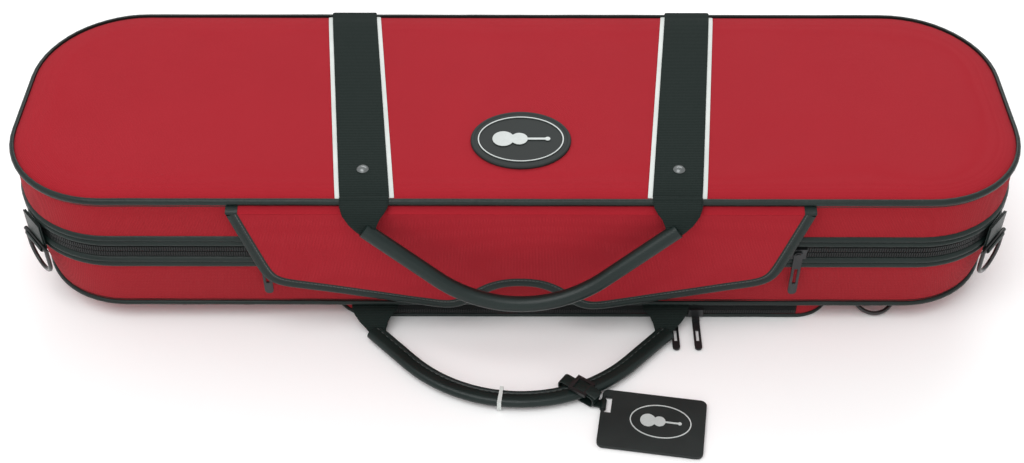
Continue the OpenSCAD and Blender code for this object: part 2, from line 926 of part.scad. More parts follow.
lower_end_y = -129;
lower_grip_w = 15;
lower_grip_t = 8;
lower_grip_z = 3.4 + lower_grip_t / 2;

// folded band with a bead along its inner edge
module lower_profile() {
    translate([-lower_grip_w / 2 + 3, -lower_grip_t / 2])
        square([lower_grip_w - 3 - lower_grip_t / 2, lower_grip_t]);
    translate([lower_grip_w / 2 - lower_grip_t / 2, 0]) circle(d = lower_grip_t, $fn = 32);
    translate([-lower_grip_w / 2 + 2, 0]) circle(d = 4, $fn = 32);
}

module lower_handle_grip() {
    color(leatherette) translate([middle_x, lower_end_y, lower_grip_z])
        grip_sweep(strap_x, lower_drop, lower_slope) lower_profile();
}

module lower_handle_tails() {
    reach = lower_turn_y - lower_end_y;
    fall = lower_turn_z - lower_grip_z;
    color(webbing_black) for (s = [-1, 1])
        translate([middle_x + s * strap_x, lower_turn_y, lower_turn_z])
            rotate([atan(fall / reach), 0, 0])
                tail(sqrt(reach * reach + fall * fall) - tail_end_gap);
}

band_w = 3;
band_angle = 262;
module lower_handle_band() {
    r = grip_r(strap_x, lower_drop, lower_slope);
    color("whitesmoke") translate([middle_x, lower_end_y + r - lower_drop, lower_grip_z])
        rotate([0, 0, band_angle]) rotate_extrude(angle = band_w / r * 180 / PI)
            translate([r, 0]) difference() {
                square([lower_grip_w + 1.4, lower_grip_t + 1.4], center = true);
                square([lower_grip_w + 0.2, lower_grip_t + 0.2], center = true);
            }
}

// ---- luggage tag -------------------------------------------------------

tag_turn = -8.5;
tag_bar = [70, -200, 2.6];
tag_bar_d = 2.8;
tag_t = 2.8;
tag_slot_l = 16;
tag_offset_y = -13;
strap_w = 10;
strap_t = 1.2;
loop_x = 46;
loop_l = 31;
loop_turn = -36;
loop_y = lower_end_y - lower_drop + grip_r(strap_x, lower_drop, lower_slope)
    - sqrt(pow(grip_r(strap_x, lower_drop, lower_slope), 2) - loop_x * loop_x);

// the link between the loop and the tag's eye starts inside the loop
link_w = 6;
link_t = 1;
link_gap = 2.2; // the link stops this short of the tag's bar, inside the eye's wall
link_x = middle_x + loop_x + (loop_l / 2 - 4) * cos(loop_turn);
link_y = loop_y + (loop_l / 2 - 4) * sin(loop_turn);

// frame of the tag: origin on the bar that the strap turns on, +X along the tag
module tag_frame() {
    translate(tag_bar) rotate([0, 0, tag_turn]) children();
}

// frame of the strap loop round the lower grip
module loop_frame() {
    translate([middle_x + loop_x, loop_y, lower_grip_z]) rotate([0, 0, loop_turn]) children();
}

module tag_strap() {
    color(leatherette) {
        loop_frame() rotate([90, 0, 0]) linear_extrude(strap_w, center = true) difference() {
            square([loop_l + 2 * strap_t, lower_grip_t + 0.8 + 2 * strap_t], center = true);
            square([loop_l, lower_grip_t + 0.8], center = true);
        }
        // from the loop to the eye
        translate([link_x, link_y, lower_grip_z - lower_grip_t / 2 - 0.3 - strap_t])
            rotate([0, 0, atan2(tag_bar[1] - link_y, tag_bar[0] - link_x)])
                translate([0, -link_w / 2, 0])
                    cube([norm([tag_bar[0] - link_x, tag_bar[1] - link_y]) - link_gap, link_w, link_t]);
        tag_frame() difference() {
            union() {
                rotate([90, 0, 0]) cylinder(r = tag_bar_d / 2 + 1.1, h = strap_w, center = true);
                translate([-4, -strap_w / 2, -0.7]) cube([3, strap_w, strap_t]);
            }
            rotate([90, 0, 0])
                cylinder(d = tag_bar_d + running, h = strap_w + 2, center = true);
        }
    }
}

module tag_buckle() {
    color("#1c1c1c") loop_frame()
        translate([loop_l / 2 - 13, 0, lower_grip_t / 2 + 0.4 + strap_t + eps]) difference() {
            translate([-8, -7.5, 0]) cube([16, 15, 2.6]);
            translate([-5, -5.2, 1.2]) cube([10, 10.4, 2]);
        }
}

module tag_plate() {
    slot_w = 6.5;
    color("#202826") tag_frame() {
        linear_extrude(tag_t, center = true) difference() {
            translate([tag_l / 2 - tag_bar_d / 2, tag_offset_y]) plan(tag_l, tag_w, 5);
            translate([-20, -tag_slot_l / 2]) square([20 + slot_w, tag_slot_l]);
        }
        rotate([90, 0, 0]) cylinder(d = tag_bar_d, h = tag_slot_l + 2, center = true);
    }
}

module tag_motif() {
    color("whitesmoke") tag_frame()
        translate([tag_l * 0.56, tag_offset_y + 2, tag_t / 2 + eps]) motif(48, 32, 0.9, 0.3);
}

// ---- one line per piece ------------------------------------------------

base_shell();
base_cover();
base_piping();
base_zip_binding();
base_zip_coil();
base_webbing();
hinge_fabric_lower();
base_lining();
lower_bout_pad();
upper_bout_pad();
neck_cradle();
neck_strap();
compartment_walls();
side_compartment_lid();
rosin_compartment_lid();
ring_tabs();
end_ring_left();
end_ring_right();
base_ring();
pocket_panel();
pocket_gusset();
pocket_piping();
pocket_zip_tape();
pocket_slider_left();
pocket_slider_right();
pocket_pull_left();
pocket_pull_right();
lid_shell();
lid_cover_side();
lid_cover_top();
lid_piping();
lid_zip_binding();
lid_zip_coil();
lid_webbing();
reflective_strips();
cap_rivets();
badge_plate();
badge_motif();
hinge_fabric_upper();
lid_lining();
bow_spinner_mounts();
bow_spinner_left();
bow_spinner_right();
bow_tip_sleeves();
flap_seam();
front_flap();
front_flap_binding();
upper_handle_grip();
upper_handle_tails();
lower_handle_grip();
lower_handle_tails();
lower_handle_band();
tag_strap();
tag_buckle();
tag_plate();
tag_motif();
zip_slider_left();
zip_slider_right();
zip_pull_left();
zip_pull_right();
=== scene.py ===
"""Violin case: the visual model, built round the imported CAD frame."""
import math

import bmesh
import bpy
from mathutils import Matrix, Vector, noise


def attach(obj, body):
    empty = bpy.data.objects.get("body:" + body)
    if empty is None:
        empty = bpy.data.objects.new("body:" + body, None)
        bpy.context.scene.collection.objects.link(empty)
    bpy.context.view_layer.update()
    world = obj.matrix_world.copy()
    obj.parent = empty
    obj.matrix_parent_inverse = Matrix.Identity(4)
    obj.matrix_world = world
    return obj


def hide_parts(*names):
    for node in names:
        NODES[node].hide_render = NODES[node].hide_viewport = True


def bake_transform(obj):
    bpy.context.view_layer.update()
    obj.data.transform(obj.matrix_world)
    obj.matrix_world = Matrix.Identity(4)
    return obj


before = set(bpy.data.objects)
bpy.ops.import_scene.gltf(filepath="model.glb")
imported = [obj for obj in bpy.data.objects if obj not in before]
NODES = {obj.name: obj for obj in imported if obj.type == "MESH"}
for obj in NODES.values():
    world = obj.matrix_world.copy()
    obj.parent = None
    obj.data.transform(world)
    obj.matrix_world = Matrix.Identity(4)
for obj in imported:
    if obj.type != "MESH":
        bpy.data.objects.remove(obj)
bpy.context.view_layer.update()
MM = 0.001

# ---- dimensions shared with the CAD, in mm ------------------------------------------------------
WALL_L, WALL_W, CORNER_R = 800.0, 230.0, 82.0
BASE_Z, SPLIT_Z, LID_Z, BAND_Z = 20.0, 88.0, 142.0, 71.0
TAPER, DOME = 7.0, 5.0
FRONT_Y, BACK_Y, END_X = -WALL_W / 2, WALL_W / 2, WALL_L / 2
MIDDLE_X = 5.0
STRAP_X, LEAN = 119.5, math.radians(6.3)
WEBBING_W, REFLECTIVE_W = 38.0, 45.0
SHELL_IN, FLOOR_Z = 6.6, 25.5
ZIP_GAP, TAPE_H, TOOTH_PITCH = 0.3, 6.0, 1.9
FLAP_Y, FLAP_TOP = -123.0, 136.5
HANDLE_Y, HANDLE_Z = -129.0, 140.5
UPPER_LEAN = math.radians(25)
UPPER_SLOPE, LOWER_SLOPE = math.radians(36), math.radians(46)
UPPER_DROP, LOWER_DROP = 61.0, 69.5
LOWER_END_Y, LOWER_GRIP_Z = -129.0, 7.4
POCKET_L, POCKET_W, POCKET_R, POCKET_X, POCKET_H = 412.0, 210.0, 30.0, 57.0, 16.8

ALONG_X, ALONG_Y, UP = Vector((1, 0, 0)), Vector((0, 1, 0)), Vector((0, 0, 1))
FORWARD = Vector((0, -1, 0))
UPPER_DOWN = Vector((0, -math.sin(UPPER_LEAN), -math.cos(UPPER_LEAN)))


# ---- mesh helpers ---------------------------------------------------------------------------------
class Shape:
    """Vertices and faces that become one object."""

    def __init__(self):
        self.v, self.f = [], []

    def stack(self, rings, closed=False):
        """Joins rings of points into a body: on to the first ring again if closed, or with flat ends."""
        n, base = len(rings[0]), len(self.v)
        for ring in rings:
            self.v.extend(Vector(p) for p in ring)
        for i in range(len(rings) if closed else len(rings) - 1):
            a, b = base + i * n, base + ((i + 1) % len(rings)) * n
            for j in range(n):
                k = (j + 1) % n
                self.f.append((a + j, a + k, b + k, b + j))
        if not closed:
            self.f.append(tuple(base + j for j in reversed(range(n))))
            end = base + (len(rings) - 1) * n
            self.f.append(tuple(end + j for j in range(n)))
        return self

    def sweep(self, stations, profile, closed=False):
        """Carries a closed profile of (u, v) along stations of (origin, U, V)."""
        rings = [[origin + across * u + up * v for u, v in profile] for origin, across, up in stations]
        return self.stack(rings, closed)

    def box(self, centre, ax, ay, az):
        """A small block from three half-axes."""
        base = len(self.v)
        for sx in (-1, 1):
            for sy in (-1, 1):
                for sz in (-1, 1):
                    self.v.append(centre + ax * sx + ay * sy + az * sz)
        for face in ((0, 1, 3, 2), (4, 6, 7, 5), (0, 4, 5, 1), (2, 3, 7, 6), (0, 2, 6, 4), (1, 5, 7, 3)):
            self.f.append(tuple(base + i for i in face))

    def sway(self, height, size, seed):
        """Lets the shape rise and fall a little along its way."""
        self.v = [p + UP * height * soft(p.x, p.y, 0, size, seed) for p in self.v]

    def done(self, name, material, slot, body=None, nodes=(), angle=40, merge=0.0):
        """Makes the object, with its material, body and the CAD nodes that it replaces; the slot argument is
        not used.
        """
        data = bpy.data.meshes.new(name)
        data.from_pydata([Vector(p) * MM for p in self.v], [], self.f)
        bm = bmesh.new()
        bm.from_mesh(data)
        if merge:
            bmesh.ops.remove_doubles(bm, verts=bm.verts, dist=merge * MM)
        bmesh.ops.recalc_face_normals(bm, faces=bm.faces)
        bm.to_mesh(data)
        bm.free()
        data.shade_smooth()
        data.set_sharp_from_angle(angle=math.radians(angle))
        obj = bpy.data.objects.new(name, data)
        bpy.context.scene.collection.objects.link(obj)
        data.materials.append(material)
        if body:
            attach(obj, body)
        if nodes:
            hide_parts(*nodes)
        return obj


def corner_points(cx, cy, r, a0, a1, n):
    """Points and outward normals on an arc, angles in degrees."""
    out = []
    for i in range(n + 1):
        a = math.radians(a0 + (a1 - a0) * i / n)
        normal = Vector((math.cos(a), math.sin(a), 0))
        out.append((Vector((cx + r * math.cos(a), cy + r * math.sin(a), 0)), normal))
    return out


def fill_straights(points, step, closed):
    """Adds points on the straight runs between arcs, so that no run is longer than a step."""
    out = []
    count = len(points)
    for i, (p, n) in enumerate(points):
        out.append((p, n))
        if i == count - 1 and not closed:
            break
        q, m = points[(i + 1) % count]
        gap = (q - p).length
        if gap > 1.5 * step and n.dot(m) > 0.9999:
            pieces = int(gap / step)
            out.extend((p.lerp(q, k / pieces), n) for k in range(1, pieces))
    return out


def outline(length, width, r, cx=0.0, step=7.0, n=14):
    """The whole rounded rectangle, counter-clockwise, as (point, normal)."""
    hx, hy = length / 2 - r, width / 2 - r
    quads = ((hx, hy, 0), (-hx, hy, 90), (-hx, -hy, 180), (hx, -hy, 270))
    points = []
    for x, y, a in quads:
        points += corner_points(cx + x, y, r, a, a + 90, n)
    return fill_straights(points, step, True)


def zip_outline(step=6.0, n=16, back=76):
    """The zip's path: from one end of the cloth hinge round the front to the other."""
    hx, hy = WALL_L / 2 - CORNER_R, WALL_W / 2 - CORNER_R
    points = corner_points(-hx, hy, CORNER_R, 180 - back, 180, n)
    points += corner_points(-hx, -hy, CORNER_R, 180, 270, n)
    points += corner_points(hx, -hy, CORNER_R, 270, 360, n)
    points += corner_points(hx, hy, CORNER_R, 0, back, n)
    return fill_straights(points, step, False)


def wall_line(inset=0.0):
    """The outline of the walls, set in by a distance."""
    return [(p - n * inset, n) for p, n in outline(WALL_L, WALL_W, CORNER_R)]


def upright(points):
    """Stations whose profile is (outward, up)."""
    return [(p, n, UP) for p, n in points]


def along(points, step):
    """Points with normals and tangents at even spacing along a path of (point, normal)."""
    out, carried = [], 0.0
    for (p, n), (q, m) in zip(points, points[1:]):
        gap = (q - p).length
        if gap < 1e-6:
            continue
        tangent = (q - p) / gap
        while carried < gap:
            t = carried / gap
            out.append((p.lerp(q, t), n.lerp(m, t).normalized(), tangent))
            carried += step
        carried -= gap
    return out


def tangents(points):
    """The direction of a path at each of its points."""
    before, after = points[:1] + points, points[1:] + points[-1:]
    return [(b - a).normalized() for a, b in zip(before, after)]


def straight(x0, x1, y):
    """Stations along X whose profile is (y, z)."""
    return [(Vector((x0 + (x1 - x0) * i / 60, y, 0)), ALONG_Y, UP) for i in range(61)]


def turns(count):
    """Even angles all the way round."""
    return [2 * math.pi * i / count for i in range(count)]


def arc_profile(cu, cv, r, a0, a1, n):
    """Points on an arc of a profile, angles in degrees."""
    angles = [math.radians(a0 + (a1 - a0) * i / n) for i in range(n + 1)]
    return [(cu + r * math.cos(a), cv + r * math.sin(a)) for a in angles]


def rounded_profile(w, h, r, n=3):
    """Rounded rectangle centred on the origin."""
    u, v = w / 2 - r, h / 2 - r
    out = []
    for cu, cv, a in ((u, v, 0), (-u, v, 90), (-u, -v, 180), (u, -v, 270)):
        out += arc_profile(cu, cv, r, a, a + 90, n)
    return out


def taper_at(z):
    return TAPER * max(0.0, BAND_Z - z) / (BAND_Z - BASE_Z)


def edge_distance(x, y):
    """How far a point is inside the wall outline."""
    qx, qy = abs(x) - (END_X - CORNER_R), abs(y) - (WALL_W / 2 - CORNER_R)
    return CORNER_R - (math.hypot(max(qx, 0), max(qy, 0)) + min(max(qx, qy), 0))


def dome_z(x, y):
    """Height of the padded lid top."""
    d = max(0.0, edge_distance(x, y))
    return LID_Z + 0.2 + (DOME - 0.3) * (1 - math.exp(-d / 8.5))


def soft(x, y, z, size, seed):
    """Slow, repeatable unevenness, about -1 to 1."""
    return noise.noise(Vector((x / size + seed, y / size, z / size)))


def outwards(p, cx=0.0):
    """Level direction from the middle of the case, or of a piece at cx, to a point."""
    return Vector((p.x - cx, p.y, 0)).normalized()


# ---- materials ------------------------------------------------------------------------------------
class Nodes:
    """Short-hand for building a material's nodes."""

    def __init__(self, name):
        self.mat = bpy.data.materials.new(name)
        self.mat.use_nodes = True
        self.tree = self.mat.node_tree
        self.shader = self.tree.nodes["Principled BSDF"]
        self.coords = self.tree.nodes.new("ShaderNodeTexCoord").outputs["Object"]

    def new(self, kind, **settings):
        made = self.tree.nodes.new(kind)
        for key, value in settings.items():
            setattr(made, key, value)
        return made

    def link(self, a, b):
        self.tree.links.new(a, b)

    def put(self, value, socket):
        """Sets a number on the socket itself, links an output to it, and leaves it alone for None."""
        if isinstance(value, (int, float)):
            socket.default_value = value
        elif value is not None:
            self.link(value, socket)

    def maths(self, op, *values):
        made = self.new("ShaderNodeMath", operation=op)
        for value, socket in zip(values, made.inputs):
            self.put(value, socket)
        return made.outputs[0]

    def weighed(self, *parts):
        """Sum of (value, weight)."""
        total = None
        for value, weight in parts:
            part = self.maths("MULTIPLY", value, weight)
            total = part if total is None else self.maths("ADD", total, part)
        return total

    def noise(self, scale, detail=3.0, rough=0.55):
        made = self.new("ShaderNodeTexNoise")
        made.inputs["Scale"].default_value = scale
        made.inputs["Detail"].default_value = detail
        made.inputs["Roughness"].default_value = rough
        self.link(self.coords, made.inputs["Vector"])
        return made.outputs["Fac"]

    def voronoi(self, scale):
        made = self.new("ShaderNodeTexVoronoi")
        made.inputs["Scale"].default_value = scale
        self.link(self.coords, made.inputs["Vector"])
        return made.outputs["Distance"]

    def axes(self):
        made = self.new("ShaderNodeSeparateXYZ")
        self.link(self.coords, made.inputs[0])
        return made.outputs

    def sine(self, value, pitch_mm):
        return self.maths("SINE", self.maths("MULTIPLY", value, 2 * math.pi / (pitch_mm * MM)))

    def ramp(self, value, stops):
        made = self.new("ShaderNodeValToRGB")
        ramp = made.color_ramp
        while len(ramp.elements) < len(stops):
            ramp.elements.new(0.5)
        for element, (place, colour) in zip(ramp.elements, stops):
            element.position = place
            element.color = (*colour, 1)
        self.link(value, made.inputs[0])
        return made.outputs[0]

    def between(self, value, low, high):
        made = self.new("ShaderNodeMapRange")
        made.inputs["To Min"].default_value = low
        made.inputs["To Max"].default_value = high
        self.link(value, made.inputs["Value"])
        return made.outputs[0]

    def bump(self, height, strength, depth_mm, under=None):
        made = self.new("ShaderNodeBump")
        made.inputs["Strength"].default_value = strength
        made.inputs["Distance"].default_value = depth_mm * MM
        self.link(height, made.inputs["Height"])
        self.put(under, made.inputs["Normal"])
        return made.outputs[0]

    def finish(self, colour=None, rough=None, normal=None, **fixed):
        for value, socket in ((colour, "Base Color"), (rough, "Roughness"), (normal, "Normal")):
            self.put(value, self.shader.inputs[socket])
        for key, value in fixed.items():
            self.shader.inputs[key.replace("_", " ")].default_value = value
        return self.mat


def woven(name, dark, mid, light, pitch=1.15, sheen=0.04):
    """Plain weave: threads run along each axis of the row, so every wall shows two directions."""
    m = Nodes(name)
    x, y, z = m.axes()
    level = m.maths("MULTIPLY", m.sine(x, pitch), m.sine(y, pitch))
    upright_threads = m.maths("MULTIPLY", m.sine(z, pitch), m.sine(m.maths("ADD", x, y), pitch))
    weave = m.maths("ADD", level, upright_threads)
    slub = m.noise(900, 2)
    cloudy = m.noise(14, 4, 0.6)
    threads = m.between(weave, 0.0, 1.0)
    tone = m.weighed((cloudy, 0.22), (threads, 0.5), (slub, 0.4))
    colour = m.ramp(tone, ((0.3, dark), (0.52, mid), (0.78, light)))
    height = m.weighed((weave, 1.0), (slub, 1.6))
    normal = m.bump(height, 0.5, 0.25, m.bump(m.noise(45, 3), 0.25, 1.0))
    return m.finish(colour, m.between(slub, 0.8, 0.94), normal, Sheen_Weight=sheen, Specular_IOR_Level=0.1)


def grained(name, dark, light, grain=650, rough=(0.34, 0.5), bump=0.5):
    """Leatherette: fine pebbles with worn, smoother high spots."""
    m = Nodes(name)
    pebble = m.voronoi(grain)
    fine = m.noise(grain * 1.6, 4)
    broad = m.noise(22, 3)
    colour = m.ramp(m.weighed((broad, 0.6), (fine, 0.4)), ((0.3, dark), (0.72, light)))
    normal = m.bump(m.weighed((pebble, 1.0), (fine, 0.5)), bump, 0.3, m.bump(broad, 0.2, 1.0))
    return m.finish(colour, m.between(broad, *rough), normal, Specular_IOR_Level=0.3)


def ribbed(name, dark, light, pitch=1.9):
    """Webbing: cross ribs along the strap, with finer lengthwise threads."""
    m = Nodes(name)
    x, y, z = m.axes()
    ribs = m.sine(m.maths("ADD", y, z), pitch)
    threads = m.sine(x, pitch * 0.62)
    fuzz = m.noise(1300, 2)
    normal = m.bump(m.weighed((ribs, 0.8), (threads, 0.35), (fuzz, 1.0)), 0.6, 0.3)
    tone = m.weighed((m.between(ribs, 0.3, 0.55), 1.0), (fuzz, 0.3))
    return m.finish(m.ramp(tone, ((0.25, dark), (0.8, light))), 0.72, normal, Specular_IOR_Level=0.12)


def plush(name, dark, light):
    m = Nodes(name)
    fuzz = m.noise(1500, 4, 0.7)
    nap = m.noise(60, 4, 0.6)
    colour = m.ramp(m.weighed((nap, 0.7), (fuzz, 0.3)), ((0.3, dark), (0.7, light)))
    normal = m.bump(fuzz, 0.7, 0.5, m.bump(nap, 0.3, 1.0))
    return m.finish(colour, 0.95, normal, Sheen_Weight=0.5, Sheen_Roughness=0.5)


def moulded(name, dark, light, rough=(0.4, 0.55), grain=1100, bump=0.15, metal=0.0, coat=0.0):
    m = Nodes(name)
    fine = m.noise(grain, 3)
    broad = m.noise(35, 3)
    colour = m.ramp(m.weighed((broad, 0.7), (fine, 0.3)), ((0.3, dark), (0.7, light)))
    fixed = {"Metallic": metal, "Coat_Weight": coat, "Specular_IOR_Level": 0.35}
    return m.finish(colour, m.between(broad, *rough), m.bump(fine, bump, 0.15), **fixed)


def boarded(name, dark, light):
    """Laminated board: layers one above the other, a little uneven, with a fine grain."""
    m = Nodes(name)
    height = m.axes()[2]
    layers = m.sine(m.weighed((height, 1.0), (m.noise(30, 3), 0.004)), 1.4)
    grain = m.noise(240, 5, 0.7)
    colour = m.ramp(m.weighed((m.between(layers, 0.1, 0.5), 1.0), (grain, 0.5)), ((0.2, dark), (0.8, light)))
    return m.finish(colour, 0.7, m.bump(grain, 0.3, 0.2))


RED = woven("red_cloth", (0.305, 0.010, 0.018), (0.352, 0.0135, 0.0235), (0.41, 0.021, 0.032))
# darker copy of the red cloth for the walls, hinge, bottom and pocket: painted shade, since these faces get
# less light than the lid top
SHADED_RED_CLOTH = woven("red_cloth_painted_shade", (0.285, 0.010, 0.0165), (0.335, 0.0135, 0.0215), (0.39, 0.020, 0.029))
SKIN = grained("leatherette", (0.0035, 0.0095, 0.0082), (0.0095, 0.019, 0.0165))
GRIP_SKIN = grained("grip_leatherette", (0.0035, 0.0095, 0.0085), (0.0095, 0.019, 0.017),
                    820, (0.3, 0.42), 0.3)
WEBBING = ribbed("webbing", (0.003, 0.006, 0.0053), (0.017, 0.027, 0.024))
REFLECTIVE = moulded("reflective_tape", (0.50, 0.53, 0.51), (0.62, 0.65, 0.63), (0.5, 0.62), 1600, 0.3)
PLUSH = plush("grey_plush", (0.055, 0.06, 0.07), (0.13, 0.14, 0.16))
RIBBON = ribbed("dark_ribbon", (0.02, 0.02, 0.024), (0.06, 0.06, 0.068), pitch=1.2)
COIL = moulded("coil", (0.004, 0.005, 0.005), (0.014, 0.016, 0.016), (0.38, 0.5))
TAPE = woven("zip_tape", (0.004, 0.005, 0.005), (0.010, 0.012, 0.012), (0.02, 0.022, 0.022), 0.7, 0.05)
ZIP_METAL = moulded("zip_metal", (0.012, 0.013, 0.014), (0.045, 0.048, 0.05), (0.3, 0.45),
                    metal=0.6, coat=0.3)
RING_METAL = moulded("ring_metal", (0.006, 0.0065, 0.0065), (0.02, 0.021, 0.021), (0.25, 0.38), coat=0.4)
RUBBER = moulded("badge_rubber", (0.006, 0.0095, 0.009), (0.016, 0.021, 0.020), (0.55, 0.7), 1500, 0.25)
MARK = moulded("light_mark", (0.42, 0.45, 0.44), (0.58, 0.61, 0.60), (0.4, 0.5))
CAP = moulded("cap_metal", (0.10, 0.11, 0.11), (0.20, 0.215, 0.215), (0.25, 0.35), metal=0.5, coat=0.5)
PLASTIC = moulded("hard_plastic", (0.006, 0.006, 0.006), (0.02, 0.02, 0.02), (0.35, 0.5))
BOARD = boarded("laminated_board", (0.23, 0.15, 0.08), (0.5, 0.37, 0.22))
THREAD = moulded("thread", (0.045, 0.052, 0.05), (0.10, 0.11, 0.105), (0.6, 0.75))


# ---- walls and covers -----------------------------------------------------------------------------
WALL_ROWS, CLOTH_T, BOTTOM_T = 10, 0.9, 1.4


def wall_profile(z0, z1, bulge):
    """Closed profile of a cloth wall: up the outside with a slight swell, down the inside."""
    outer, inner = [], []
    for i in range(WALL_ROWS + 1):
        z = z0 + (z1 - z0) * i / WALL_ROWS
        outer.append((bulge * math.sin(math.pi * i / WALL_ROWS) - taper_at(z), z))
        inner.append((-taper_at(z) - CLOTH_T, z))
    return outer + inner[::-1]


def cloth_wall(name, z0, z1, bulge, body, node, seed):
    profile = wall_profile(z0, z1, bulge)
    shape = Shape().sweep(upright(wall_line()), profile, closed=True)
    for i, p in enumerate(shape.v):
        if 0 < i % len(profile) < WALL_ROWS:
            shape.v[i] = p + outwards(p) * 0.35 * soft(p.x, p.y, p.z, 38, seed)
    shape.done(name, SHADED_RED_CLOTH, "cloth", body, (node,))


def plate(name, points, z0, z1, material, slot, body, nodes=()):
    """A thin panel with eased edges, from an outline of (point, normal)."""
    rings = []
    for inset, z in ((0.5, z0), (0, z0 + 0.3), (0, z1 - 0.3), (0.5, z1)):
        rings.append([(p - n * inset) + UP * z for p, n in points])
    Shape().stack(rings).done(name, material, slot, body, nodes)


cloth_wall("base_wall_cloth", BASE_Z, SPLIT_Z - ZIP_GAP, 0.7, "base", "base_cover", 3.1)
plate("base_bottom_cloth", wall_line(TAPER), BASE_Z - BOTTOM_T, BASE_Z, SHADED_RED_CLOTH, "cloth", "base")
cloth_wall("lid_wall_cloth", SPLIT_Z + ZIP_GAP, LID_Z, 0.9, "lid", "lid_cover_side", 8.4)


def lid_top():
    """Padded top: rings from the edge inwards, closed along the middle, over a flat underside."""
    shape = Shape()
    edge = wall_line()
    middle = END_X - WALL_W / 2
    insets = (0.0, 0.8, 2.0, 4.0, 7.0, 11.0, 16.0, 23.0, 32.0, 44.0, 60.0)
    rings = [[p - n * d for p, n in edge] for d in insets]
    inner = rings[-1]
    for t in (0.25, 0.5, 0.75, 1.0):
        rings.append([p.lerp(Vector((max(-middle, min(middle, p.x)), 0, 0)), t) for p in inner])
    n = len(edge)
    for ring in rings:
        for p in ring:
            wave = 0.22 * soft(p.x, p.y, 0, 60, 5.5) * min(1.0, edge_distance(p.x, p.y) / 20)
            shape.v.append(Vector((p.x, p.y, dome_z(p.x, p.y) + wave)))
    for i in range(len(rings) - 1):
        for j in range(n):
            k = (j + 1) % n
            shape.f.append((i * n + j, i * n + k, (i + 1) * n + k, (i + 1) * n + j))
    base = len(shape.v)
    shape.v.extend(p + UP * LID_Z for p, _ in edge)
    for j in range(n):
        k = (j + 1) % n
        shape.f.append((base + j, base + k, k, j))
    shape.f.append(tuple(base + j for j in reversed(range(n))))
    top = shape.done("lid_top_cloth", RED, "cloth", "lid", ("lid_cover_top",), angle=60, merge=0.02)


lid_top()


# ---- piping and zip -------------------------------------------------------------------------------
def piping(name, points, z, r, body, node, flange):
    """Corded piping: a bead with a flat flange against the wall, below it or, if negative, above it."""
    side = 1 if flange > 0 else -1
    edge_z = z - side * (r + abs(flange))
    profile = arc_profile(0.15, z, r, -98 * side, 98 * side, 14)
    profile += [(-0.6, z + side * r * 0.9), (-0.6, edge_z), (0.45, edge_z)]
    shape = Shape().sweep(upright(points), profile, closed=True)
    shape.sway(0.18, 26, 2.0)
    shape.done(name, SKIN, "leatherette", body, (node,), angle=50)


pocket_line = outline(POCKET_L, POCKET_W, POCKET_R, POCKET_X)
piping("lid_edge_piping", wall_line(), LID_Z, 3.0, "lid", "lid_piping", 2.2)
piping("base_edge_piping", wall_line(TAPER - 0.6), BASE_Z + 1.0, 2.2, "base", "base_piping", -1.8)
piping("pocket_edge_piping", pocket_line, 2.05, 1.8, "base", "pocket_piping", -0.9)


def binding(name, z0, body, node):
    """Double-ridged binding beside the zip."""
    angles = [math.radians(d) for d in (-80, -55, -30, -10, 10, 30, 55, 80)]
    ridge = [(1.5 + 1.45 * math.cos(a) ** 2, 2.35 * math.sin(a)) for a in angles]
    profile = [(0, z0), (1.1, z0 + 0.1)]
    profile += [(u, z0 + 3.0 + v) for u, v in ridge] + [(1.35, z0 + 5.5)]
    profile += [(u, z0 + 8.0 + v) for u, v in ridge] + [(1.1, z0 + 10.9), (0, z0 + 11)]
    shape = Shape().sweep(upright(zip_outline()), profile)
    shape.sway(0.12, 20, 7.0 + z0)
    shape.done(name, SKIN, "leatherette", body, (node,), angle=50)


binding("base_binding_strip", BAND_Z, "base", "base_zip_binding")
binding("lid_binding_strip", SPLIT_Z + TAPE_H, "lid", "lid_zip_binding")


def zip_half(name, side, body, node, shift):
    """Woven tape with a row of coil teeth along its inner edge; side is 1 above the split, -1 below."""
    points = zip_outline()
    z0, z1 = sorted((SPLIT_Z + side * ZIP_GAP, SPLIT_Z + side * TAPE_H))
    tape = Shape().sweep(upright(points), [(0, z0), (0.45, z0), (0.45, z1), (0, z1)])
    tape.done(name + "_tape", TAPE, "coil", body, (node,))
    teeth = Shape()
    for p, n, t in along(points, TOOTH_PITCH)[1:-1]:
        centre = p + t * shift + n * 0.72 + UP * (SPLIT_Z + side * 2.6)
        teeth.box(centre, n * 0.34, t * 0.55 + UP * 0.25, UP * 2.2)
    teeth.done(name + "_teeth", COIL, "coil", body, angle=30)


zip_half("base_zip", -1, "base", "base_zip_coil", 0.0)
zip_half("lid_zip", 1, "lid", "lid_zip_coil", TOOTH_PITCH / 2)


def strip_stations(path, lateral=ALONG_X, widths=None):
    """Stations along a path whose profile's u is sideways, scaled by widths, and v is off the surface."""
    out = []
    for p, tangent, width in zip(path, tangents(path), widths or [1.0] * len(path)):
        side = (lateral - tangent * lateral.dot(tangent)).normalized()
        out.append((p, side * width, side.cross(tangent)))
    return out


def strap_profile(w, t):
    """Flat strap with thinner selvedges; v from 0 upwards."""
    h = w / 2
    us = (-h, -h + 0.5, -h + 2.2, -h * 0.4, h * 0.4, h - 2.2, h - 0.5, h)
    top = (0.5 * t, 0.82 * t, t, t, t, t, 0.82 * t, 0.5 * t)
    return [(u, v) for u, v in zip(us, top)] + [(h - 0.5, 0.08), (0, 0.0), (-h + 0.5, 0.08)]
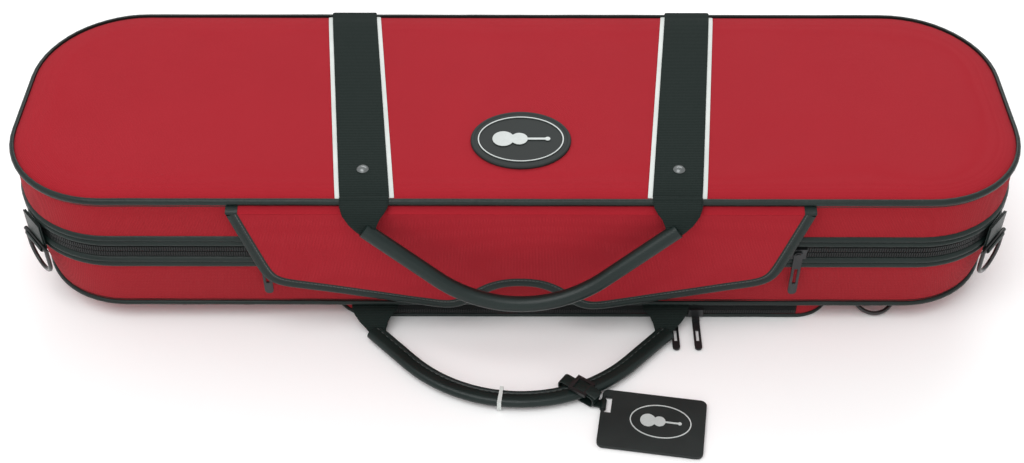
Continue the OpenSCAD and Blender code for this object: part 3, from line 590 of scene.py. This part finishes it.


# the cloth hinge: one continuous strip over the whole back
hinge_l = WALL_L - 2 * CORNER_R
HINGE_FOOT, HINGE_RISE, HINGE_T = 70.7, 34.6, 0.62
hinge = Shape()
hinge_path = []
for i in range(25):
    z = HINGE_FOOT + HINGE_RISE * i / 24
    swell = 0.55 * math.exp(-(((z - SPLIT_Z) / 7) ** 2))
    hinge_path.append(Vector((0, BACK_Y + 0.08 + swell, z)))
hinge_x = [-hinge_l / 2 + hinge_l * i / 90 for i in range(91)]
hinge_profile = [(x, 0.0) for x in hinge_x] + [(x, HINGE_T) for x in reversed(hinge_x)]
hinge.sweep([(p, ALONG_X, ALONG_Y) for p in hinge_path], hinge_profile)
hinge_cloth = hinge.done("hinge_cloth", SHADED_RED_CLOTH, "cloth", None, ("hinge_fabric_lower", "hinge_fabric_upper"))
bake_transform(hinge_cloth)


# ---- straps ---------------------------------------------------------------------------------------
WEBBING_T, BACK_LIFT = 1.35, 1.15
# heights of the webbing on the back wall, from the lid down past the hinge to the base
BACK_ZS = (126, 112, 104, 98, 95, 92.5, 90, 88, 86, 83.5, 81, 78, 74, 71, 62, 50, 38, 30)
# where it passes the base's piping: distance from the foot of the wall, and height
BACK_FOOT = ((2.6, 26.5), (3.5, 23.5), (3.55, 20.5), (2.9, 18.6), (0.8, 17.45))
# how it leaves the base and gathers into the lower grip: y, height, share of its width
LOWER_TAIL = ((-104, 18.45, 1.0), (-109.5, 18.3, 1.0), (-113.6, 17.7, 0.97), (-117.0, 15.6, 0.84),
              (-120.5, 13.0, 0.68), (-124.5, 10.6, 0.5), (-129.0, 8.6, 0.36), (-134.0, 7.6, 0.3))


def strap_centre(side, y):
    return MIDDLE_X + side * (STRAP_X + math.tan(LEAN) * (y - FRONT_Y - 3))


def top_path(side, lift, y0, y1):
    """Points over the padded lid, along a strap's leaning middle line."""
    out = []
    for i in range(61):
        y = y0 + (y1 - y0) * i / 60
        x = strap_centre(side, y)
        out.append(Vector((x, y, dome_z(x, y) + lift)))
    return out


def arc_over(x, y, r, a0, a1, n, way):
    """Points of a bend round the lid's edge, seen along X; angles from level, way -1 for the front."""
    return [Vector((x, y + way * u, LID_Z + v)) for u, v in arc_profile(0, 0, r, a0, a1, n)]


for side, word in ((-1, "left"), (1, "right")):
    # pale reflective strip, wider than the webbing, ending at both pipings
    path = top_path(side, 0.17, FRONT_Y + 0.4, BACK_Y - 0.4)
    pale = Shape().sweep(strip_stations(path), strap_profile(REFLECTIVE_W, 0.75))
    pale.done(f"reflective_strip_{word}", REFLECTIVE, "reflective", "lid", ("reflective_strips",))
    # webbing over the lid, over the front piping and down into the grip
    x0 = MIDDLE_X + side * STRAP_X
    over = arc_over(x0, FRONT_Y, 3.5, 88, 50, 5, -1)
    hem = Vector((x0, HANDLE_Y + 0.3, HANDLE_Z + 0.4))
    middle = Vector((x0 - side * 0.8, HANDLE_Y - 3.2, HANDLE_Z - 4.2))
    grip_in = Vector((x0 - side * 4.0, HANDLE_Y, HANDLE_Z)) + UPPER_DOWN * 16.5
    path = top_path(side, 0.95, BACK_Y - 1.0, FRONT_Y + 2.0) + over
    widths = [1.0] * len(path) + [0.97, 0.84, 0.62, 0.46, 0.34, 0.28]
    path += [over[-1].lerp(hem, 0.5) + UP * 0.35, hem]
    path += [middle.lerp(grip_in, t) for t in (0.0, 0.4, 0.7, 1.0)]
    strap = Shape().sweep(strip_stations(path, -ALONG_X, widths), strap_profile(WEBBING_W, WEBBING_T))
    top_nodes = ("lid_webbing", "upper_handle_tails")
    strap_obj = strap.done(f"webbing_top_{word}", WEBBING, "webbing", None, top_nodes)
    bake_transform(strap_obj)
    # webbing down the back, across the hinge, to the bottom
    xb = strap_centre(side, BACK_Y)
    path = []
    for inset, lift in ((9.0, 0.9), (5.0, 1.35), (2.0, 2.3)):
        y = BACK_Y - inset
        path.append(Vector((strap_centre(side, y), y, dome_z(xb, y) + lift)))
    path += arc_over(xb, BACK_Y, 3.45, 80, -22, 9, 1)
    path += [Vector((xb, BACK_Y + 2.2, 137)), Vector((xb, BACK_Y + 1.35, 133))]
    path += [Vector((xb, BACK_Y + BACK_LIFT - taper_at(z), z)) for z in BACK_ZS]
    path += [Vector((xb, BACK_Y - TAPER + off, z)) for off, z in BACK_FOOT]
    path += [Vector((xb, y, 17.3)) for y in (104, 98, 92)]
    back = Shape().sweep(strip_stations(path), strap_profile(WEBBING_W, 1.25))
    back_obj = back.done(f"webbing_back_{word}", WEBBING, "webbing", None, ("base_webbing",))
    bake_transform(back_obj)
    # webbing under the base, forward to the lower grip
    path = [Vector((strap_centre(side, y), y, 18.45)) for y in (104, 80, 50, 20, -10, -40, -70, -95)]
    widths = [1.0] * len(path) + [share for _, _, share in LOWER_TAIL]
    path += [Vector((x0 - side * max(0.0, (-y - 118) * 0.28), y, z)) for y, z, _ in LOWER_TAIL]
    under = Shape().sweep(strip_stations(path, ALONG_X, widths), strap_profile(WEBBING_W, WEBBING_T))
    under_nodes = ("base_webbing", "lower_handle_tails")
    under_obj = under.done(f"webbing_under_{word}", WEBBING, "webbing", None, under_nodes)
    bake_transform(under_obj)


# ---- handles --------------------------------------------------------------------------------------
def grip_radius(half, drop, slope):
    return (half * math.tan(slope) - drop) / (math.sin(slope) * math.tan(slope) - 1 + math.cos(slope))


def grip_path(half, drop, slope, count):
    """(x, down) along a U of two straights and an arc."""
    r = grip_radius(half, drop, slope)
    reach = r * math.sin(slope)
    out = []
    for i in range(9):
        x = -half + (half - reach) * i / 8
        out.append((x, (x + half) * math.tan(slope)))
    for i in range(1, count):
        a = -slope + 2 * slope * i / count
        out.append((r * math.sin(a), drop - r * (1 - math.cos(a))))
    out += [(-x, d) for x, d in out[8::-1]]
    return out


def grip_stations(drop, slope, count, origin, down, normal):
    """Stations with u away from the case, within the handle's plane, and v along its normal."""
    points = [origin + ALONG_X * x + down * d for x, d in grip_path(STRAP_X, drop, slope, count)]
    return [(p, -normal.cross(t).normalized(), normal) for p, t in zip(points, tangents(points))]


def eased_ends(stations):
    """Stations with a smaller ring added at each end, so that the rims are rounded."""
    ends = []
    for (p, u, v), (q, _, _) in (stations[:2], stations[:-3:-1]):
        ends.append([(p, u * 0.9, v * 0.9), (p.lerp(q, 0.06), u, v)])
    return ends[0] + stations[1:-1] + ends[1][::-1]


upper_normal = Vector((0, -math.cos(UPPER_LEAN), math.sin(UPPER_LEAN)))
upper_origin = Vector((MIDDLE_X, HANDLE_Y, HANDLE_Z)) + UPPER_DOWN * 11.0
stations = grip_stations(UPPER_DROP, UPPER_SLOPE, 26, upper_origin, UPPER_DOWN, upper_normal)
GRIP_R = 6.2
tube = [(GRIP_R * math.cos(a), GRIP_R * math.sin(a)) for a in turns(24)]
grip = Shape().sweep(eased_ends(stations), tube)
# butted seam along the side that faces the case
seam = [(p - n * 5.9 - u * 1.2, u, n) for p, u, n in stations[1:-1]]
grip.sweep(seam, [(0.45 * math.cos(a), 0.75 * math.sin(a)) for a in turns(8)])
grip.done("upper_grip_cover", GRIP_SKIN, "leatherette", "upper_handle", ("upper_handle_grip",), angle=50)

lower_origin = Vector((MIDDLE_X, LOWER_END_Y, LOWER_GRIP_Z))
stations = grip_stations(LOWER_DROP, LOWER_SLOPE, 40, lower_origin, FORWARD, UP)
# a folded band: broad rounded face, a groove, and a bead along the inner edge
face = arc_profile(3.6, 0, 3.9, -90, 90, 10) + [(0.8, 3.95), (-1.8, 3.7), (-3.1, 2.9), (-3.7, 1.7)]
bead = arc_profile(-5.3, 0.2, 2.1, 60, 300, 10)
fold = [(-3.7, -1.9), (-3.1, -3.0), (-1.8, -3.7), (0.8, -3.9)]
band = Shape().sweep(stations, face + bead + fold)
band.done("lower_grip_cover", GRIP_SKIN, "leatherette", "lower_handle", ("lower_handle_grip",), angle=50)
stitches = Shape()
for (p, u, n), (q, _, _) in zip(stations, stations[1:]):
    run = (q - p).length
    tangent = (q - p).normalized()
    count = max(1, int(run / 3.4))
    for k in range(count):
        centre = p + tangent * (run * (k + 0.5) / count) - u * 2.2 + n * 3.62
        stitches.box(centre, tangent * 1.1, u * 0.28, n * 0.22)
stitches.done("lower_grip_stitches", THREAD, "leatherette", "lower_handle")


# ---- front flap -----------------------------------------------------------------------------------
FLAP_HALF, FLAP_LOW, FLAP_CORNER_R, FLAP_SIDE_Z, FLAP_BOTTOM = 225.0, 205.0, 16.0, 74.0, 26.0
NOTCH_FOOT, NOTCH_TOP, FOOT_LIFT, EDGE_W, FLAP_T = 52.0, 59.0, 3.4, 9.0, 1.1


def eased(points, step, rounds):
    """A polyline resampled evenly and relaxed, so that its corners turn softly."""
    line, carried = [], 0.0
    for (x0, z0), (x1, z1) in zip(points, points[1:]):
        gap = math.hypot(x1 - x0, z1 - z0)
        while carried < gap:
            t = carried / gap
            line.append((x0 + (x1 - x0) * t, z0 + (z1 - z0) * t))
            carried += step
        carried -= gap
    line.append(points[-1])
    for _ in range(rounds):
        relaxed = [((a[0] + 2 * b[0] + c[0]) / 4, (a[1] + 2 * b[1] + c[1]) / 4)
                   for a, b, c in zip(line, line[1:], line[2:])]
        line = [line[0]] + relaxed + [line[-1]]
    return line


def flap_boundary(inset):
    """The flap's free edge from the top left, round the bottom and the notch, to the top right: (x, z)."""
    half = []
    for t in [i / 10 for i in range(10)]:
        x = FLAP_HALF - inset + (FLAP_LOW - FLAP_HALF) * t
        half.append((x, FLAP_TOP + (FLAP_SIDE_Z - FLAP_TOP) * t))
    r = FLAP_CORNER_R - inset
    for a in [math.radians(d) for d in range(0, -81, -8)]:
        half.append((FLAP_LOW - FLAP_CORNER_R + r * math.cos(a), FLAP_SIDE_Z + r * math.sin(a)))
    x0, z0 = half[-1]
    x1, z1 = NOTCH_FOOT + inset, FLAP_BOTTOM + FOOT_LIFT + inset
    half += [(x0 + (x1 - x0) * i / 24, z0 + (z1 - z0) * i / 24) for i in range(1, 25)]
    rise = NOTCH_TOP - FLAP_BOTTOM - FOOT_LIFT
    for t in [i / 24 for i in range(23, -1, -1)]:
        half.append((x1 * t, z1 + rise * math.cos(math.pi / 2 * t**1.5) ** 2))
    return eased([(-x, z) for x, z in half] + half[-2::-1], 3.0, 14)


def flap_y(x, z):
    """Gentle hang of the flap: the middle swells over the zip and the lower edge lifts a little."""
    fall = (FLAP_TOP - z) / 110.0
    swell = 1.6 * math.sin(math.pi * min(1.0, fall * 1.15)) * (1 - 0.4 * abs(x) / FLAP_HALF)
    wave = 0.9 * fall * math.sin(x / 46.0 + 0.8) + 0.7 * fall * soft(x, z, 0, 55, 4.2)
    return FLAP_Y - swell - 0.6 * fall - wave


def flap_floor(x, edge):
    """Height of the flap's free edge at x, the highest where the edge passes x more than once."""
    best = None
    for (x0, z0), (x1, z1) in zip(edge, edge[1:]):
        if min(x0, x1) - 1e-9 <= x <= max(x0, x1) + 1e-9:
            t = 0.5 if abs(x1 - x0) < 1e-9 else (x - x0) / (x1 - x0)
            z = z0 + (z1 - z0) * t
            best = z if best is None else max(best, z)
    return FLAP_TOP if best is None else best


def flap_sheet():
    edge = flap_boundary(EDGE_W - 2.0)
    reach = max(x for x, _ in edge)
    xs = {round(x, 3) for x, _ in edge if abs(x) < reach - 0.01}
    xs |= {i * 6.0 for i in range(-33, 34)} | {-reach + 0.3, reach - 0.3}
    xs = sorted(xs)
    rows = 22
    shape = Shape()
    area = 0.0
    for layer in (0, 1):
        for x in xs:
            low = flap_floor(x, edge)
            for j in range(rows + 1):
                z = FLAP_TOP + (low - FLAP_TOP) * j / rows
                y = flap_y(x, z) + (FLAP_T / 2 if layer else -FLAP_T / 2)
                shape.v.append(Vector((x + MIDDLE_X, y, z)))
    m, n = len(xs), rows + 1
    for i in range(m - 1):
        low = (flap_floor(xs[i], edge) + flap_floor(xs[i + 1], edge)) / 2
        area += (xs[i + 1] - xs[i]) * (FLAP_TOP - low)
        for j in range(rows):
            a = i * n + j
            shape.f.append((a, a + 1, a + n + 1, a + n))
            b = a + m * n
            shape.f.append((b, b + n, b + n + 1, b + 1))
        for a in (i * n, i * n + rows):
            shape.f.append((a, a + n, a + n + m * n, a + m * n))
    for i in (0, m - 1):
        for j in range(rows):
            a = i * n + j
            shape.f.append((a, a + 1, a + 1 + m * n, a + m * n))
    flap = shape.done("flap_cloth", RED, "cloth", "flap", ("front_flap",), angle=60)
    return flap, area, reach, FLAP_TOP - min(z for _, z in edge)


flap, flap_area, flap_reach, flap_height = flap_sheet()

edge_line = flap_boundary(EDGE_W / 2)
trim, stitch = Shape(), Shape()
stations = []
for (x, z), tangent in zip(edge_line, tangents([Vector((x, 0, z)) for x, z in edge_line])):
    stations.append((Vector((x + MIDDLE_X, flap_y(x, z), z)), tangent.cross(FORWARD).normalized(), FORWARD))
profile = [(4.5, 0), (4.3, 0.9), (3.4, 1.45), (2.0, 1.65), (0.6, 1.45), (-0.3, 0.85), (-0.7, 0.65),
           (-1.2, 0.85), (-1.7, 1.05), (-3.9, 1.05), (-4.5, 0.6), (-4.5, -0.7), (-3.9, -1.2),
           (3.9, -1.2), (4.4, -0.7)]
trim.sweep(stations, profile)
trim_obj = trim.done("flap_edge_binding", SKIN, "leatherette", "flap", ("front_flap_binding",), angle=50)
for (p, s, v), (q, _, _) in zip(stations, stations[1:]):
    run = (q - p).length
    count = max(1, round(run / 3.6))
    for k in range(count):
        centre = p.lerp(q, (k + 0.5) / count) + v * 1.1 - s * 2.9
        stitch.box(centre, (q - p).normalized() * min(1.15, run / count * 0.38), s * 0.32, v * 0.2)
stitch_obj = stitch.done("flap_stitches", THREAD, "leatherette", "flap")
seam_shape, seam_ends = Shape(), Shape()
seam_profile = [(FRONT_Y, 135.9), (FRONT_Y, 139.6), (-118.0, 139.3), (-121.0, 138.6),
                (-123.0, 137.6), (-123.6, 136.7), (-122.6, 136.2), (-120.0, 136.0)]
seam_shape.sweep(straight(MIDDLE_X - FLAP_HALF, MIDDLE_X + FLAP_HALF, 0), seam_profile)
seam_shape.done("flap_seam_strip", RED, "cloth", "lid", ("flap_seam",), angle=60)
fatter = [(y - 0.35 if y < -116 else y, z + (0.35 if z > 137 else -0.2)) for y, z in seam_profile]
for side in (-1, 1):
    span = [MIDDLE_X + side * (FLAP_HALF + past) for past in (-EDGE_W, -EDGE_W / 2, 0.3)]
    seam_ends.sweep([(ALONG_X * x, ALONG_Y, UP) for x in span], fatter)
seam_ends.done("flap_seam_ends", SKIN, "leatherette", "lid", angle=50)


# ---- badge ----------------------------------------------------------------------------------------
BADGE_Y, BADGE_Z = -51.0, 147.02
# length, width and height above the lid of each ring of the badge, from its foot to its sunk middle
BADGE_RINGS = ((79, 66, 0), (79.6, 66.6, 0.6), (79.4, 66.4, 1.5), (78.4, 65.4, 2.15), (76.6, 63.6, 2.45),
               (74.6, 61.6, 2.3), (73.6, 60.6, 1.9), (73.0, 60.0, 1.75), (70.0, 57.0, 1.7))


def oval(length, width, z):
    return [(MIDDLE_X + length / 2 * math.cos(a), BADGE_Y + width / 2 * math.sin(a), z) for a in turns(96)]


badge = Shape().stack([oval(length, width, BADGE_Z + z) for length, width, z in BADGE_RINGS])
badge.done("badge_moulding", RUBBER, "badge_rubber", "lid", ("badge_plate",), angle=50)


# ---- pocket ---------------------------------------------------------------------------------------
PANEL_T, GUSSET_ROWS = 1.5, 8
outer = []
for i in range(GUSSET_ROWS + 1):
    z = PANEL_T + (POCKET_H - PANEL_T) * i / GUSSET_ROWS
    outer.append((0.45 * math.sin(math.pi * i / GUSSET_ROWS), z))
inner = [(-1.4, z) for _, z in outer[::-1]]
gusset = Shape()
gusset.sweep(upright(outline(POCKET_L, POCKET_W, POCKET_R, POCKET_X, n=10)), outer + inner, closed=True)
for i, p in enumerate(gusset.v):
    if i % len(outer + inner) < GUSSET_ROWS:
        gusset.v[i] = p + outwards(p, POCKET_X) * 0.3 * soft(p.x, p.y, p.z, 30, 6.0)
gusset.done("pocket_gusset_cloth", SHADED_RED_CLOTH, "cloth", "base", ("pocket_gusset",))
plate("pocket_panel_cloth", pocket_line, 0.0, PANEL_T - 0.05, SHADED_RED_CLOTH, "cloth", "base", ("pocket_panel",))

tape_y = -POCKET_W / 2
tape_x0, tape_x1 = POCKET_X - POCKET_L / 2 + POCKET_R, POCKET_X + POCKET_L / 2 - POCKET_R
tape_profile = [(-0.9, 4.6), (-1.35, 5.2), (-1.35, 14.2), (-0.9, 15.0), (0.1, 15.0), (0.1, 4.6)]
tape = Shape().sweep(straight(tape_x0, tape_x1, tape_y), tape_profile)
tape.done("pocket_tape", TAPE, "coil", "base", ("pocket_zip_tape",))
teeth = Shape()
for i in range(int((tape_x1 - tape_x0) / TOOTH_PITCH)):
    centre = Vector((tape_x0 + 1.0 + TOOTH_PITCH * i, tape_y - 1.5, 7.8))
    teeth.box(centre, Vector((0.5, 0, 0.3)), ALONG_Y * 0.28, UP * 1.9)
teeth.done("pocket_teeth", COIL, "coil", "base", angle=30)


# ---- D-ring tabs ----------------------------------------------------------------------------------
TAB_W, TAB_T, TAB_LOOP_R = 26.0, 1.1, 2.75
RING_TURN, RING_REACH, RING_Z = math.radians(40), CORNER_R + 6.3, 74


def ring_tab(shape, origin, out, run, across, reach):
    """A leatherette tab folded round a bar: a loop, then both plies lying together against the case."""
    path = [origin + run * k - out * 2.3 for k in (reach * 0.98, reach * 0.75, reach * 0.5, 8.0, 5.0)]
    for a in [math.radians(75 + 270 * i / 20) for i in range(21)]:
        p = origin + run * (TAB_LOOP_R * math.cos(a)) - out * (TAB_LOOP_R * math.sin(a))
        if (p - origin).dot(run) < 2.4:
            path.append(p)
    profile = rounded_profile(TAB_W, TAB_T, 0.5)
    shape.sweep([(p, across, t.cross(across).normalized()) for p, t in zip(path, tangents(path))], profile)
    back = [origin + run * k - out * 0.95 for k in (4.0, 6.0, reach * 0.5, reach * 0.75, reach)]
    shape.sweep([(p, across, run.cross(across).normalized()) for p in back], profile)


BASE_RING = Vector((299, -82, 15.35))
tabs = Shape()
for side in (-1, 1):
    outward = Vector((side * math.cos(RING_TURN), -math.sin(RING_TURN), 0))
    pivot = Vector((side * (END_X - CORNER_R), FRONT_Y + CORNER_R, RING_Z)) + outward * RING_REACH
    ring_tab(tabs, pivot, outward, UP, Vector((-outward.y, outward.x, 0)), 24)
ring_tab(tabs, BASE_RING, -UP, ALONG_Y, ALONG_X, 34)
tabs.done("ring_tab_loops", SKIN, "leatherette", "base", ("ring_tabs",), angle=50)


# ---- tag strap ------------------------------------------------------------------------------------
TAG_TURN, LOOP_TURN, LOOP_OFF = math.radians(-8.5), math.radians(-36), 46.0


def level(turn):
    """Level directions along and across a piece turned by an angle."""
    return Vector((math.cos(turn), math.sin(turn), 0)), Vector((-math.sin(turn), math.cos(turn), 0))


r_low = grip_radius(STRAP_X, LOWER_DROP, LOWER_SLOPE)
loop_y = LOWER_END_Y - LOWER_DROP + r_low - math.sqrt(r_low**2 - LOOP_OFF**2)
loop_o = Vector((MIDDLE_X + LOOP_OFF, loop_y, LOWER_GRIP_Z))
loop_along, loop_across = level(LOOP_TURN)
strap = Shape()
ring = [(loop_along * u, UP * v) for u, v in rounded_profile(32.2, 10.0, 3.6, 6)]
stations = [(loop_o + a + b, loop_across, (a + b * 2.2).normalized()) for a, b in ring]
strap.sweep(stations, rounded_profile(10.0, 1.3, 0.5), closed=True)
# the link from the loop to the eye on the tag's bar
bar = Vector((70, -200, 2.6))
bar_out, bar_across = level(TAG_TURN)
link_a = loop_o + loop_along * 11.5 - UP * 5.0
link_b = bar - bar_out * 1.9 + bar_across * 0.6 - UP * 0.2
link = [link_a, link_a.lerp(bar, 0.35) - UP * 0.3, link_a.lerp(bar, 0.7) - UP * 0.2, link_b]
link_across = (link_b - link_a).cross(UP).normalized()
strap.sweep([(p, link_across, UP) for p in link], rounded_profile(7.6, 1.3, 0.5))
spokes = [bar_out * math.cos(a) + UP * math.sin(a) for a in turns(20)]
strap.sweep([(bar + s * 2.05, bar_across, s) for s in spokes], rounded_profile(9.6, 0.9, 0.4), closed=True)
# the loose end, lying over the loop
tail_rise = ((-6, 5.5), (-2, 6.4), (4, 7.3), (10, 7.7), (15, 7.2), (18.5, 6.2))
tail = [loop_o + loop_along * u + UP * v for u, v in tail_rise]
strap.sweep([(p, loop_across, UP) for p in tail], rounded_profile(9.2, 1.2, 0.5))
strap.done("tag_strap_loop", SKIN, "leatherette", "lower_handle", ("tag_strap",), angle=50)


# ---- linings and interior -------------------------------------------------------------------------
def lining(name, floor_z, lip_z, outer_z, body, node, seed):
    """Plush tub: a wall with a lip over the shell's rim, and a floor or ceiling panel."""
    step, rows = (1 if lip_z > floor_z else -1), 8
    wall = []
    for i in range(rows + 1):
        z = floor_z + (lip_z - step * 0.4 - floor_z) * i / rows
        wall.append((0.3 * math.sin(math.pi * i / rows) - taper_at(z) - SHELL_IN, z))
    lip = [(-SHELL_IN + 0.9, lip_z), (-1.6, lip_z), (-1.3, lip_z - step * 0.2), (-5.25, lip_z - step * 0.35)]
    foot_x, foot_z = -taper_at(floor_z) - 5.2, floor_z - step * 1.2
    foot = [(-5.25, outer_z), (foot_x, foot_z), (foot_x - 1.5, foot_z)]
    shape = Shape().sweep(upright(wall_line()), wall + lip + foot, closed=True)
    panel = wall_line(SHELL_IN - 0.2 + taper_at(floor_z))
    shape.stack([[p + UP * z for p, _ in panel] for z in sorted((floor_z, floor_z - step * 1.3))])
    shape.v = [p + outwards(p) * 0.15 * soft(p.x, p.y, p.z, 24, seed) for p in shape.v]
    shape.done(name, PLUSH, "plush", body, (node,))


lining("base_plush", FLOOR_Z, SPLIT_Z - 0.35, BAND_Z, "base", "base_lining", 1.0)
lining("lid_plush", 136.45, SPLIT_Z + 0.35, 134.45, "lid", "lid_lining", 9.0)


def soft_copy(node, name, body, voxel=2.6, passes=8):
    """A padded piece from a CAD solid: remeshed, then relaxed so that every edge rounds over."""
    data = NODES[node].data.copy()
    data.name = name
    obj = bpy.data.objects.new(name, data)
    bpy.context.scene.collection.objects.link(obj)
    remesh = obj.modifiers.new("remesh", "REMESH")
    remesh.mode = "VOXEL"
    remesh.voxel_size = voxel * MM
    smooth = obj.modifiers.new("smooth", "SMOOTH")
    smooth.factor, smooth.iterations = 0.5, passes
    bpy.context.view_layer.update()
    shaped = bpy.data.meshes.new_from_object(obj.evaluated_get(bpy.context.evaluated_depsgraph_get()))
    obj.modifiers.clear()
    obj.data = shaped
    for v in shaped.vertices:
        v.co += v.normal * (0.25 * MM * soft(*(v.co / MM), 14, 3.0))
    shaped.shade_smooth()
    shaped.materials.clear()
    shaped.materials.append(PLUSH)
    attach(obj, body)
    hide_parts(node)


soft_copy("lower_bout_pad", "lower_bout_cushion", "base")
soft_copy("upper_bout_pad", "upper_bout_cushion", "base")
soft_copy("neck_cradle", "neck_cushion", "base", passes=6)
soft_copy("bow_tip_sleeves", "bow_sleeves_soft", "lid", voxel=1.1, passes=3)

# the neck ribbon lies across the cradle, which stands beyond the violin's body
BAY_PLAY, VIOLIN_BODY, CRADLE_REACH, CRADLE_H = 8, 356, 64, 38
cradle_x = -END_X + SHELL_IN + BAY_PLAY + VIOLIN_BODY + CRADLE_REACH
ribbon_z = FLOOR_Z + CRADLE_H + 0.45
ribbon = []
for y in (-31, -24, -16, -8, 0, 8, 16, 22):
    ribbon.append((Vector((cradle_x, y, ribbon_z + 0.25 * math.sin(y / 9.0))), ALONG_X, UP))
roll = Vector((cradle_x, 27, ribbon_z + 1.4))
for a in [math.radians(d) for d in range(0, 300, 30)]:
    inward = UP * math.cos(a) - ALONG_Y * math.sin(a)
    ribbon.append((roll - inward * 1.2, ALONG_X, inward))
ribbon_shape = Shape().sweep(ribbon, rounded_profile(20, 0.9, 0.4))
ribbon_shape.done("neck_ribbon", RIBBON, "ribbon", "neck_strap", ("neck_strap",), angle=60)


# ---- CAD nodes that keep their own shape ----------------------------------------------------------
# material, width of the bevel in mm, nodes
KEPT = (
    (BOARD, 0, ("base_shell", "lid_shell")),
    (PLUSH, 0.9, ("compartment_walls",)),
    (PLUSH, 0.7, ("side_compartment_lid", "rosin_compartment_lid")),
    (RING_METAL, 0, ("end_ring_left", "end_ring_right", "base_ring")),
    (CAP, 0, ("cap_rivets",)),
    (MARK, 0, ("badge_motif", "tag_motif")),
    (ZIP_METAL, 0.5, ("zip_slider_left", "zip_slider_right")),
    (ZIP_METAL, 0.35, ("zip_pull_left", "zip_pull_right")),
    (ZIP_METAL, 0.4, ("pocket_slider_left", "pocket_slider_right")),
    (ZIP_METAL, 0.3, ("pocket_pull_left", "pocket_pull_right")),
    (PLASTIC, 0.5, ("bow_spinner_mounts", "bow_spinner_left", "bow_spinner_right")),
    (PLASTIC, 0.4, ("tag_buckle",)),
    (RUBBER, 0.7, ("tag_plate",)),
    (REFLECTIVE, 0, ("lower_handle_band",)),
)
for material, width, names in KEPT:
    for obj in [NODES[name] for name in names]:
        if obj.data.materials:
            for i in range(len(obj.data.materials)):
                obj.data.materials[i] = material
        else:
            obj.data.materials.append(material)
        if width:
            bevel = obj.modifiers.new("eased", "BEVEL")
            bevel.width, bevel.segments = width * MM, 2
            bevel.limit_method, bevel.angle_limit = "ANGLE", math.radians(50)


# ---- stage, light and camera ----------------------------------------------------------------------
FLOOR_HALF = 30
floor_data = bpy.data.meshes.new("studio_floor")
floor_corners = [(x * FLOOR_HALF, y * FLOOR_HALF, 0) for x, y in ((-1, -1), (1, -1), (1, 1), (-1, 1))]
floor_data.from_pydata(floor_corners, [], [(0, 1, 2, 3)])
floor = bpy.data.objects.new("studio_floor", floor_data)
bpy.context.scene.collection.objects.link(floor)
stage = Nodes("pale_floor")
floor_tone = stage.ramp(stage.noise(3, 2), ((0.0, (0.97, 0.97, 0.97)), (1.0, (0.99, 0.99, 0.99))))
floor_data.materials.append(stage.finish(floor_tone, 0.9, Specular_IOR_Level=0.1))

world = bpy.data.worlds.new("studio")
bpy.context.scene.world = world
world.use_nodes = True
background = world.node_tree.nodes["Background"].inputs
background["Color"].default_value = (1, 1, 1, 1)
background["Strength"].default_value = 0.72


def area_light(name, place, target, size, power):
    data = bpy.data.lights.new(name, "AREA")
    data.shape, data.energy = "RECTANGLE", power
    data.size, data.size_y = size
    obj = bpy.data.objects.new(name, data)
    bpy.context.scene.collection.objects.link(obj)
    obj.location = place
    obj.rotation_euler = (Vector(target) - Vector(place)).to_track_quat("-Z", "Y").to_euler()


area_light("key", (-0.5, -0.9, 2.2), (0, 0, 0.05), (1.8, 1.4), 28)
area_light("back", (0.3, 1.7, 1.7), (0, 0, 0.1), (2.4, 1.0), 22)
area_light("front", (0.2, -2.4, 0.9), (0, 0, 0.08), (2.4, 1.0), 5)

camera_data = bpy.data.cameras.new("camera")
camera = bpy.data.objects.new("camera", camera_data)
bpy.context.scene.collection.objects.link(camera)
bpy.context.scene.camera = camera
camera_data.sensor_width = 36.0
camera_data.lens = 52.9629
camera_data.shift_y = -0.036855
camera.location = (0.0018, -0.9385, 0.9428)
elevation, yaw, roll = math.radians(43.89), math.radians(-0.19), math.radians(0.06)
camera.rotation_euler = (math.pi / 2 - elevation, roll, -yaw)
bpy.context.scene.view_settings.view_transform = "Standard"
